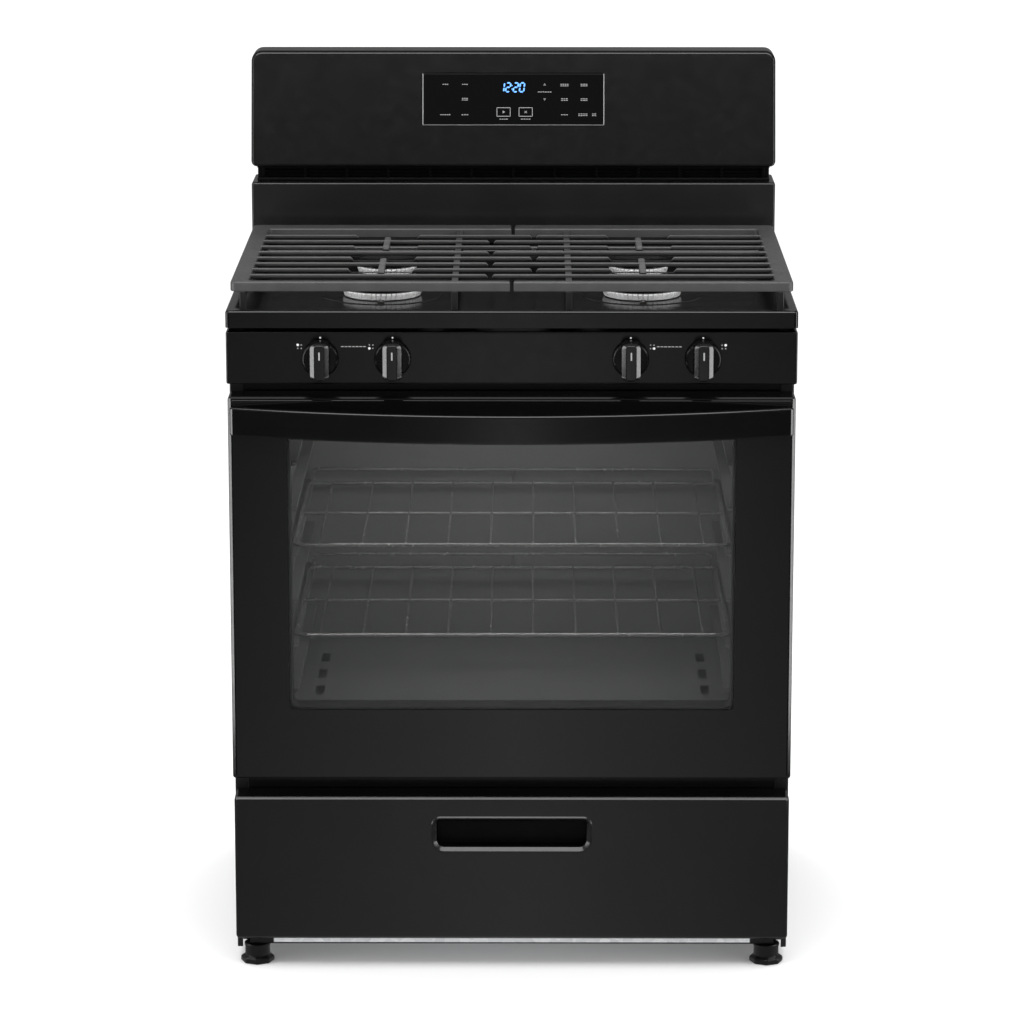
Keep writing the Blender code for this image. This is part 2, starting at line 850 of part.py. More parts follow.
def leaning_section(inset):
    """The console from the side, inset all round but open to the rear."""
    drop = inset / math.cos(LEAN)
    slope = math.tan(LEAN)
    rear = SHELL_REAR_Y if inset == 0 else 0.40
    low, high = CONSOLE_LOW_Z + inset, TOTAL_HEIGHT - inset
    return [
        (CONSOLE_FRONT_LOW_Y + drop + inset * slope, low),
        (rear, low),
        (rear, high),
        (CONSOLE_FRONT_HIGH_Y + drop - inset * slope, high),
    ]


console_outline = rounded_outline(
    (-HALF_WIDTH, CONSOLE_LOW_Z), (HALF_WIDTH, TOTAL_HEIGHT), 0.008, 0.015
)
node(
    "console_shell",
    "black_plastic",
    [prism(console_outline, "Y", 0.2, SHELL_REAR_Y)],
    (
        "INTERSECT",
        [prism(leaning_section(0), "X", -0.45, 0.45)],
    ),
    (CUT, [prism(leaning_section(0.006), "X", -HALF_WIDTH + 0.008, HALF_WIDTH - 0.008)]),
    (
        CUT,
        [
            on_face(
                box(
                    (-TOUCH_HALF_WIDTH - GAP, -0.02, -TOUCH_HALF_HEIGHT - GAP),
                    (TOUCH_HALF_WIDTH + GAP, 0.0033, TOUCH_HALF_HEIGHT + GAP),
                )
            )
        ],
    ),
)

node(
    "touch_panel",
    "black_glass",
    [
        on_face(
            box(
                (-TOUCH_HALF_WIDTH, -0.0004, -TOUCH_HALF_HEIGHT),
                (TOUCH_HALF_WIDTH, 0.003, TOUCH_HALF_HEIGHT),
            )
        )
    ],
)

node(
    "console_rear_cover",
    "galvanised",
    [box((-0.374, SHELL_REAR_Y + GAP, 0.918), (0.374, REAR_Y, 1.176))],
    (
        CUT,
        [
            box((x - 0.04, 0.35, z), (x + 0.04, 0.38, z + 0.005))
            for x in (-0.18, 0.0, 0.18)
            for z in (1.06, 1.08, 1.10, 1.12)
        ],
    ),
)


# ---------------------------------------------------------------- oven door
corner = 0.0115
below_hinge = [
    (HINGE_Y, HINGE_Z - corner),
    (HINGE_Y + corner, HINGE_Z),
    (HINGE_Y + 0.03, HINGE_Z),
    (HINGE_Y + 0.03, HINGE_Z - 0.03),
    (HINGE_Y, HINGE_Z - 0.03),
]
node(
    "door_frame",
    "black_enamel",
    [
        box(
            (-DOOR_HALF_WIDTH, DOOR_FRONT_Y, DOOR_BOTTOM_Z),
            (DOOR_HALF_WIDTH, DOOR_REAR_Y - 0.0015, DOOR_TOP_Z),
        )
    ],
    (CUT, [box((-0.3728, -0.31, 0.2755), (0.3728, -0.2922, 0.7955))]),
    (CUT, [box((-0.302, -0.31, 0.366), (0.302, -0.24, 0.758))]),
    (CUT, [box((-0.376, -0.2905, 0.2745), (0.376, -0.24, 0.7975))]),
    (CUT, [prism(below_hinge, "X", -0.4, 0.4)]),
    (
        CUT,
        [
            box((sign * 0.356 - 0.003, -0.2760, 0.26), (sign * 0.356 + 0.003, -0.24, 0.279))
            for sign in (-1, 1)
        ],
    ),
    origin=(0.0, HINGE_Y, HINGE_Z),
)

node(
    "door_glass_outer",
    "black_glass",
    [box((-0.3725, DOOR_FRONT_Y, 0.2758), (0.3725, -0.2925, 0.7952))],
    origin=(0.0, HINGE_Y, HINGE_Z),
)

TUNNEL = 0.0015
node(
    "door_inner_panel",
    "grey_enamel",
    [box((-0.3757, DOOR_REAR_Y - 0.0015, HINGE_Z + GAP), (0.3757, DOOR_REAR_Y, 0.7972))],
    (
        JOIN,
        [
            box(
                (-WINDOW_HALF_WIDTH - TUNNEL, -0.2902, WINDOW_LOW_Z - TUNNEL),
                (WINDOW_HALF_WIDTH + TUNNEL, -0.2512, WINDOW_HIGH_Z + TUNNEL),
            )
        ],
    ),
    (
        CUT,
        [
            box(
                (-WINDOW_HALF_WIDTH, -0.30, WINDOW_LOW_Z),
                (WINDOW_HALF_WIDTH, -0.24, WINDOW_HIGH_Z),
            )
        ],
    ),
    (
        CUT,
        [
            box((sign * 0.356 - 0.003, -0.26, 0.27), (sign * 0.356 + 0.003, -0.24, 0.2935))
            for sign in (-1, 1)
        ],
    ),
    origin=(0.0, HINGE_Y, HINGE_Z),
)

node(
    "door_window_inner",
    "clear_glass",
    [
        box(
            (-WINDOW_HALF_WIDTH + GAP, -0.262, WINDOW_LOW_Z + GAP),
            (WINDOW_HALF_WIDTH - GAP, -0.258, WINDOW_HIGH_Z - GAP),
        )
    ],
    origin=(0.0, HINGE_Y, HINGE_Z),
)


def door_hinge(name, sign):
    """A hinge strap inside the door with the pivot pin at its lower end."""
    x = sorted((sign * 0.341, sign * 0.3525))
    node(
        name,
        "galvanised",
        [box((x[0], -0.2902, 0.2785), (x[1], -0.2538, 0.400))],
        (JOIN, [rod((sign * 0.345, HINGE_Y, HINGE_Z), (sign * 0.3725, HINGE_Y, HINGE_Z), 0.004, 24)]),
        origin=(0.0, HINGE_Y, HINGE_Z),
    )


door_hinge("door_hinge_left", -1)
door_hinge("door_hinge_right", 1)


def bowed_bar():
    """A flat bar bowed forwards between the two ends of the door."""

    def add(bm):
        box(
            (-HANDLE_HALF_LENGTH, HANDLE_END_Y - HANDLE_THICKNESS, HANDLE_LOW_Z),
            (HANDLE_HALF_LENGTH, HANDLE_END_Y, HANDLE_HIGH_Z),
        )(bm)
        cuts = 15
        for i in range(1, cuts + 1):
            x = HANDLE_HALF_LENGTH * (2.0 * i / (cuts + 1) - 1.0)
            bmesh.ops.bisect_plane(
                bm,
                geom=bm.verts[:] + bm.edges[:] + bm.faces[:],
                plane_co=(x, 0.0, 0.0),
                plane_no=(1.0, 0.0, 0.0),
            )
        for vert in bm.verts:
            vert.co.y -= HANDLE_BOW * (1.0 - (vert.co.x / HANDLE_HALF_LENGTH) ** 2)

    return add


handle = node("door_handle", "black_enamel", [bowed_bar()], origin=(0.0, HINGE_Y, HINGE_Z))
round_edges(handle, 0.0035, 1, 50.0)


# ---------------------------------------------------------------- drawer
node(
    "drawer_front",
    "black_enamel",
    [
        box(
            (-DRAWER_HALF_WIDTH, DRAWER_FRONT_Y, DRAWER_LOW_Z),
            (DRAWER_HALF_WIDTH, DRAWER_BACK_Y, DRAWER_HIGH_Z),
        )
    ],
    (
        CUT,
        [
            box(
                (-DRAWER_HALF_WIDTH + 0.002, DRAWER_FRONT_Y + 0.002, DRAWER_LOW_Z + 0.002),
                (DRAWER_HALF_WIDTH - 0.002, -0.23, DRAWER_HIGH_Z - 0.002),
            )
        ],
    ),
    (
        JOIN,
        [
            box(
                (-PULL_HALF_WIDTH - 0.002, DRAWER_FRONT_Y + 0.001, PULL_LOW_Z - 0.002),
                (PULL_HALF_WIDTH + 0.002, PULL_BACK_Y + 0.002, PULL_HIGH_Z + 0.002),
            )
        ],
    ),
    (
        CUT,
        [
            box(
                (-PULL_HALF_WIDTH, -0.31, PULL_LOW_Z),
                (PULL_HALF_WIDTH, PULL_BACK_Y, PULL_HIGH_Z),
            )
        ],
    ),
    origin=(0.0, DRAWER_FRONT_Y, DRAWER_LOW_Z),
)

node(
    "drawer_box",
    "galvanised",
    [box((-0.345, DRAWER_BACK_Y + GAP, 0.0518), (0.345, 0.200, 0.198))],
    (
        CUT,
        [box((-0.344, DRAWER_BACK_Y + GAP + SHEET, 0.0528), (0.344, 0.199, 0.22))],
    ),
    origin=(0.0, DRAWER_FRONT_Y, DRAWER_LOW_Z),
)


# ---------------------------------------------------------------- levelling legs
for label, (x, y) in zip(("front_left", "rear_left", "front_right", "rear_right"), leg_places):
    node(
        "leg_" + label,
        "black_plastic",
        [rod((x, y, 0.0), (x, y, 0.009), 0.023, 16, 0.0225)],
        (JOIN, [rod((x, y, 0.008), (x, y, BASE_LOW_Z - GAP), 0.018, 16)]),
        (JOIN, [rod((x, y, 0.025), (x, y, 0.0425), 0.004, 8)]),
        origin=(x, y, 0.0),
    )
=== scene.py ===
"""Looks of the gas range: detailed pieces, materials, floor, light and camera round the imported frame."""

import math

import bmesh
import bpy
from mathutils import Matrix, Vector

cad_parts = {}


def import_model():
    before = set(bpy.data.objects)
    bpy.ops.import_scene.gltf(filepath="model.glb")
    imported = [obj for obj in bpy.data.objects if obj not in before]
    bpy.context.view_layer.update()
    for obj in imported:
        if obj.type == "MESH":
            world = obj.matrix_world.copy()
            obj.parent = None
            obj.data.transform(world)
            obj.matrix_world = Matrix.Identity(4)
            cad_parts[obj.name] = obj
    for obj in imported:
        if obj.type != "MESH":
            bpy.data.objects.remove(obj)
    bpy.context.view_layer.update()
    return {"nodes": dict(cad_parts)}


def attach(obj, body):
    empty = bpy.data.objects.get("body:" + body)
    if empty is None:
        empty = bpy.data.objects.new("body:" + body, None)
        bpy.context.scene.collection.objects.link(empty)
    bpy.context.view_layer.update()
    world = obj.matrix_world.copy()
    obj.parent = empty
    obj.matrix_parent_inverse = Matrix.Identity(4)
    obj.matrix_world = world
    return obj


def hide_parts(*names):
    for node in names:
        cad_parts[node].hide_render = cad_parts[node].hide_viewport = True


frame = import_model()
nodes = frame["nodes"]
for old in [o for o in bpy.data.objects if o.type in ("CAMERA", "LIGHT")]:
    bpy.data.objects.remove(old, do_unlink=True)

# ---------------------------------------------------------------- dimensions, metres
HALF_WIDTH = 0.3795
SHEET = 0.0012
BURNER_X = 0.177
BURNERS = (
    ("front_left", -BURNER_X, -0.110, 0.0545),
    ("front_right", BURNER_X, -0.110, 0.0545),
    ("rear_left", -BURNER_X, 0.085, 0.0425),
    ("rear_right", BURNER_X, 0.085, 0.0425),
)
WELL_Z = 0.905
RIM_Z = 0.914
GRATE_TOP = 0.949
KNOB_X = (-0.254, -0.158, 0.158, 0.254)
KNOB_Z = 0.849
PANEL_FRONT = -0.284
CONSOLE_LOW = 1.027
CONSOLE_HIGH = 1.191
CONSOLE_FRONT_LOW = 0.278
CONSOLE_FRONT_HIGH = 0.315
SHELL_REAR = 0.3655
LEAN = math.atan2(CONSOLE_FRONT_HIGH - CONSOLE_FRONT_LOW, CONSOLE_HIGH - CONSOLE_LOW)
TOUCH_Z = 1.1226
DOOR_FRONT = -0.2965
HINGE_Y = -0.262
HINGE_Z = 0.2845
POINT = 0.00001
UPRIGHT, BACKWARD, RIGHTWARD = Vector((0, 0, 1)), Vector((0, 1, 0)), Vector((1, 0, 0))


# ---------------------------------------------------------------- materials
def grey(level):
    return (level,) * 3


def dimmed(tone, share):
    return tuple(share * part for part in tone)


class Finish:
    """A Principled material with its own noise in colour, roughness and bump."""

    def __init__(self, name, **sockets):
        self.material = bpy.data.materials.new(name)
        self.material.use_nodes = True
        self.nodes = self.material.node_tree.nodes
        self.links = self.material.node_tree.links
        self.shader = self.nodes["Principled BSDF"]
        for key, value in sockets.items():
            self.shader.inputs[key.replace("_", " ")].default_value = value
        self.coords = self.nodes.new("ShaderNodeTexCoord").outputs["Object"]
        self.height = None

    def add(self, kind, feed=None, **values):
        """A node with its first input fed, and its settings and sockets given by name."""
        made = self.nodes.new(kind)
        if feed is not None:
            self.links.new(feed, made.inputs[0])
        for key, value in values.items():
            if hasattr(made, key):
                setattr(made, key, value)
            else:
                made.inputs[key.replace("_", " ")].default_value = value
        return made

    def noise(self, scale, detail=3.0, roughness=0.55, stretch=None):
        at = self.coords
        if stretch:
            at = self.add("ShaderNodeMapping", at, Scale=stretch).outputs[0]
        made = self.add("ShaderNodeTexNoise", at, Scale=scale, Detail=detail, Roughness=roughness)
        return made.outputs["Fac"]

    def cells(self, scale, feature="F1", output="Distance"):
        made = self.add("ShaderNodeTexVoronoi", self.coords, feature=feature, Scale=scale)
        return made.outputs[output]

    def ramp(self, fac, *stops):
        made = self.add("ShaderNodeValToRGB", fac)
        band = made.color_ramp
        while len(band.elements) < len(stops):
            band.elements.new(0.5)
        for element, (place, colour) in zip(band.elements, stops):
            element.position = place
            element.color = (*colour, 1.0)
        return made.outputs["Color"]

    def by_place(self, axis, *stops):
        """Greys by distance from the origin along an axis: stops are (distance, level) pairs."""
        place = self.add("ShaderNodeSeparateXYZ", self.coords).outputs[axis]
        distance = self.add("ShaderNodeMath", place, operation="ABSOLUTE").outputs[0]
        low, high = stops[0][0], stops[-1][0]
        spread = self.add("ShaderNodeMapRange", distance, From_Min=low, From_Max=high)
        levels = [((where - low) / (high - low), grey(level)) for where, level in stops]
        return self.ramp(spread.outputs["Result"], *levels)

    def shaded(self, colour, axis, *stops):
        """The base colour, multiplied by by_place's greys."""
        mix = self.add("ShaderNodeVectorMath", colour, operation="MULTIPLY")
        self.links.new(self.by_place(axis, *stops), mix.inputs[1])
        self.links.new(mix.outputs[0], self.shader.inputs["Base Color"])
        return mix.outputs[0]

    def colour(self, fac, *stops):
        self.links.new(self.ramp(fac, *stops), self.shader.inputs["Base Color"])

    def rough(self, fac, low, high, begin=0.3, end=0.7):
        spread = self.add(
            "ShaderNodeMapRange", fac, From_Min=begin, From_Max=end, To_Min=low, To_Max=high)
        self.links.new(spread.outputs["Result"], self.shader.inputs["Roughness"])

    def bump(self, fac, distance, strength):
        made = self.add("ShaderNodeBump", Strength=strength, Distance=distance)
        self.links.new(fac, made.inputs["Height"])
        if self.height is not None:
            self.links.new(self.height, made.inputs["Normal"])
        self.height = made.outputs["Normal"]
        self.links.new(self.height, self.shader.inputs["Normal"])


def plain(name, tones, cloud, gloss, rough, bumps=(), spread=(0.3, 0.7), **sockets):
    """A finish with cloudy colour between two tones, uneven gloss and fine bumps.

    cloud and gloss are noise (scale, detail), and bumps are (scale, detail, distance, strength)."""
    made = Finish(name, **sockets)
    made.colour(made.noise(*cloud), *zip(spread, tones))
    made.rough(made.noise(*gloss), *rough)
    for scale, detail, distance, strength in bumps:
        made.bump(made.noise(scale, detail), distance, strength)
    return made


def enamel(name, level, rough=(0.14, 0.2), peel=0.000012, **sockets):
    """Black gloss enamel: a slow orange-peel ripple, faint cloudiness and fine dust in the gloss."""
    return plain(
        name, (grey(level * 0.85), grey(level * 1.15)), (9.0, 4.0), (60.0, 5.0), rough,
        ((220.0, 2.0, peel, 0.6), (1500.0, 1.0, 0.000003, 0.5)), (0.35, 0.65), **sockets,
    ).material


def cast_iron(name, *painted_light_by_height):
    """Enamelled iron, darker low down as painted shade and lighter along the top as painted highlight.
    Each pair given is (z, share of the colour).
    """
    made = Finish(name, Specular_IOR_Level=0.42)
    cloud = made.ramp(made.noise(38.0, 6.0), (0.3, grey(0.051)), (0.7, grey(0.065)))
    # painted shade low down and painted highlight along the top, by height
    made.shaded(cloud, "Z", *painted_light_by_height)
    made.rough(made.noise(240.0, 4.0), 0.36, 0.5)
    made.bump(made.noise(520.0, 4.0, 0.65), 0.0001, 0.6)
    made.bump(made.cells(900.0), 0.00004, 0.3)
    return made.material


def cast_aluminium(name, metallic, level):
    return plain(
        name, (grey(level * 0.9), grey(level)), (70.0, 5.0), (300.0, 4.0), (0.34, 0.5),
        [(1300.0, 3.0, 0.00008, 0.6)], Metallic=metallic,
    ).material


def galvanised(name, metallic, level, painted=False):
    """Zinc spangle. The base rail's ends are painted over, and its lower edge is darkened as painted
    shadow.
    """
    made = Finish(name, Metallic=metallic)
    zinc = made.ramp(
        made.cells(95.0, output="Color"),
        (0.15, dimmed((0.84, 0.865, 0.89), level)),
        (0.5, dimmed((0.96, 0.985, 1.0), level)),
        (0.85, dimmed((1.09, 1.11, 1.125), level)),
    )
    made.links.new(zinc, made.shader.inputs["Base Color"])
    if painted:
        along = made.shaded(zinc, "X", (0.326, 1.0), (0.3275, 0.01))
        # painted shadow along the rail's lower edge
        made.shaded(along, "Z", (0.0296, 0.02), (0.0301, 1.0))
    made.rough(made.cells(95.0, output="Color"), 0.3, 0.5, 0.2, 0.8)
    made.bump(made.cells(95.0, "DISTANCE_TO_EDGE"), 0.00003, 0.4)
    made.bump(made.noise(700.0, 3.0), 0.00002, 0.5)
    return made.material


def bright_wire():
    """Plated wire, brushed along the oven's depth."""
    made = Finish("plated_wire", Metallic=0.9)
    made.colour(made.noise(120.0, 4.0), (0.3, grey(0.62)), (0.7, (0.8, 0.8, 0.79)))
    made.rough(made.noise(500.0, 3.0, stretch=(1.0, 0.2, 1.0)), 0.16, 0.3)
    made.bump(made.noise(900.0, 2.0, stretch=(1.0, 0.15, 1.0)), 0.00003, 0.5)
    return made.material


def bare_metal(name, tone):
    return plain(
        name, (dimmed(tone, 0.88), tone), (90.0, 4.0), (400.0, 3.0), (0.25, 0.4),
        [(1100.0, 3.0, 0.00003, 0.5)], Metallic=1.0,
    ).material


def oven_enamel():
    """Grey oven enamel with fine pale specks."""
    made = Finish("grey_speckled_enamel", Specular_IOR_Level=0.4)
    stops = ((0.0, 0.62), (0.11, 0.58), (0.17, 0.23), (1.0, 0.265))
    made.colour(made.cells(420.0), *((place, grey(level)) for place, level in stops))
    made.rough(made.noise(80.0, 4.0), 0.28, 0.42)
    made.bump(made.noise(420.0, 3.0), 0.0001, 0.5)
    return made.material


def plastic(name, level, rough, specular, grain=0.00006):
    made = plain(
        name, (grey(level * 0.9), grey(level * 1.15)), (50.0, 3.0), (300.0, 3.0), rough,
        Specular_IOR_Level=specular)
    made.bump(made.cells(1600.0), grain, 0.5)
    return made.material


def glass(name, tone, alpha, specular, rough=(0.02, 0.05)):
    """Flat glass whose tint is its own colour and whose clearness is its alpha."""
    return plain(
        name, (dimmed(tone, 0.9), tone), (6.0, 3.0), (14.0, 6.0), rough, [(30.0, 2.0, 0.00002, 0.3)],
        Specular_IOR_Level=specular, Alpha=alpha,
    ).material


def print_ink(name, level):
    return plain(
        name, (grey(level * 0.85), grey(level)), (900.0, 3.0), (500.0, 3.0), (0.45, 0.6),
        spread=(0.3, 0.6), Specular_IOR_Level=0.2,
    ).material


def braid():
    """Woven glass-fibre tube: fine crossed strands."""
    made = Finish("braided_gasket", Specular_IOR_Level=0.2)
    strands = made.add(
        "ShaderNodeTexWave", made.coords, Scale=420.0, Distortion=1.5, wave_type="BANDS",
        bands_direction="DIAGONAL",
    ).outputs["Fac"]
    made.colour(strands, (0.2, grey(0.05)), (0.8, grey(0.13)))
    made.rough(made.noise(300.0), 0.8, 0.95)
    made.bump(strands, 0.0003, 0.8)
    return made.material


BLACK = enamel("black_enamel", 0.0022)
BLACK_TOP = enamel("black_enamel_top", 0.0022)
BLACK_PANEL = enamel("black_enamel_panel", 0.002)
BLACK_DRAWER = enamel("black_enamel_drawer", 0.0022, (0.2, 0.27), 0.000018)
BLACK_SIDE = enamel("black_enamel_side", 0.0065, (0.26, 0.36), 0.00003)
BLACK_CONSOLE = enamel("black_console", 0.002, (0.18, 0.24))
# A lighter copy of the black enamel for the riser: painted light.
BLACK_RISER_PAINTED_LIGHT = enamel("black_enamel_riser_painted_light", 0.0095, (0.18, 0.24))
# A darker, duller copy of the black enamel for the pull's pocket walls: painted shade.
BLACK_RECESS_PAINTED_SHADE = enamel("black_enamel_recess_painted_shade", 0.001, (0.4, 0.5), Specular_IOR_Level=0.12)
# A dark grey copy of the oven enamel for the door window's tunnel: painted shade.
TUNNEL_PAINTED_SHADE = enamel("grey_tunnel_painted_shade", 0.035, (0.35, 0.45))
# The grate iron is darkened low down as painted shade and lightened along its tops as painted highlight.
IRON_PAINTED_LIGHT = cast_iron(
    "cast_iron", (0.905, 0.12), (0.934, 0.16), (0.9365, 0.84), (0.9465, 0.88), (0.949, 1.08))
IRON_PAINTED_LIGHT_BAR = cast_iron(
    "cast_iron_bars_painted_light", (0.9375, 0.1), (0.944, 0.12), (0.9458, 1.1), (0.9474, 1.7), (0.949, 1.8))
# The burner head's crown and base are lighter, less metallic copies of cast aluminium: painted light, with
# the base brightened against its shade.
CROWN_PAINTED_LIGHT = cast_aluminium("bright_aluminium_painted_light", 0.1, 0.9)
BURNER_BASE_PAINTED_LIGHT = cast_aluminium("burner_aluminium_painted_light", 0.0, 0.95)
ALUMINIUM = cast_aluminium("cast_aluminium", 1.0, 0.85)
ZINC = galvanised("galvanised_steel", 0.85, 0.55)
# A lighter, less metallic copy of the galvanised finish for the base rail: painted light.
RAIL_ZINC_PAINTED_LIGHT = galvanised("rail_galvanised_steel_painted_light", 0.3, 0.8, painted=True)
WIRE = bright_wire()
OVEN = oven_enamel()
STEEL = bare_metal("plain_steel", (0.62, 0.62, 0.63))
BRASS = bare_metal("brass", (0.75, 0.55, 0.24))
KNOB_PLASTIC = plastic("knob_plastic", 0.004, (0.16, 0.22), 0.6, 0.000006)
# A darker, less glossy copy of the knob plastic for the skirt: painted shade.
SKIRT_PLASTIC_PAINTED_SHADE = plastic("knob_skirt_plastic_painted_shade", 0.003, (0.22, 0.3), 0.22, 0.000006)
FOOT_PLASTIC = plastic("foot_plastic", 0.0025, (0.3, 0.42), 0.4)
VENT_PLASTIC = plastic("vent_plastic", 0.002, (0.4, 0.5), 0.15)
# Pale and dimmer trim colours standing for light caught on the touch glass edges: painted highlight.
BEZEL_PAINTED_HIGHLIGHT = plastic("bezel_painted_highlight", 0.4, (0.25, 0.35), 0.5)
BEZEL_PAINTED_HIGHLIGHT_DIM = plastic("bezel_painted_highlight_dim", 0.14, (0.25, 0.35), 0.5)
FRIT = glass("black_printed_glass", (0.0028, 0.0028, 0.003), 1.0, 0.5)
WINDOW = glass("smoked_glass", (0.02, 0.0205, 0.021), 0.22, 0.5)
CLEAR = glass("clear_glass", (0.05, 0.055, 0.052), 0.12, 0.3, (0.09, 0.14))
TOUCH = glass("touch_glass", (0.0015, 0.0015, 0.0018), 1.0, 0.3)
WHITE_INK = print_ink("white_ink", 0.8)
GREY_INK = print_ink("grey_ink", 0.33)
DIM_INK = print_ink("dim_ink", 0.17)
BRAID = braid()
DIGITS = plain(
    "lit_digits", ((0.1, 0.3, 0.8), (0.2, 0.45, 1.0)), (600.0, 3.0), (500.0, 3.0), (0.3, 0.4),
    Specular_IOR_Level=0.2, Emission_Color=(0.1, 0.34, 0.95, 1.0), Emission_Strength=1.0,
).material
CERAMIC = plain(
    "dark_ceramic", ((0.016, 0.015, 0.014), (0.03, 0.028, 0.026)), (200.0, 3.0), (400.0, 3.0),
    (0.25, 0.4), [(900.0, 3.0, 0.00004, 0.5)],
).material


# ---------------------------------------------------------------- shape tools
def arc(x, y, radius, begin, steps=5):
    """Points round a quarter circle, anticlockwise from an angle in degrees."""
    for i in range(steps + 1):
        angle = math.radians(begin + 90 * i / steps)
        yield (x + radius * math.cos(angle), y + radius * math.sin(angle))


def outline(x0, x1, z0, z1, low, high=None, steps=5):
    """A rectangle's points, anticlockwise. low and high are its lower and upper corners' radii."""
    high = low if high is None else high
    return [
        *arc(x1 - low, z0 + low, low, -90, steps), *arc(x1 - high, z1 - high, high, 0, steps),
        *arc(x0 + high, z1 - high, high, 90, steps), *arc(x0 + low, z0 + low, low, 180, steps),
    ]


def quarter(radius, steps=4):
    """(inset, rise) pairs round a quarter circle, from upright to flat."""
    for i in range(1, steps + 1):
        angle = math.pi / 2 * i / steps
        yield radius * (1 - math.cos(angle)), radius * math.sin(angle)


def eased(share):
    """A share from 0 to 1, slow at both ends."""
    return 3 * share**2 - 2 * share**3


def front_ring(x0, x1, z0, z1, y, low, high=None, steps=5):
    return [(x, y, z) for x, z in outline(x0, x1, z0, z1, low, high, steps)]


def flat_ring(x0, x1, y0, y1, z, radius):
    return [(x, y, z) for x, y in outline(x0, x1, y0, y1, radius)]


def both_faces(rings):
    """A sheet's rings, along its inner face and back along its outer one. rings(t) is at depth t."""
    return rings(SHEET)[::-1] + rings(0.0)


def round_edges(bm, edges, width, segments):
    bmesh.ops.bevel(
        bm, geom=edges, offset=width, segments=segments, profile=0.5, affect="EDGES",
        clamp_overlap=True)


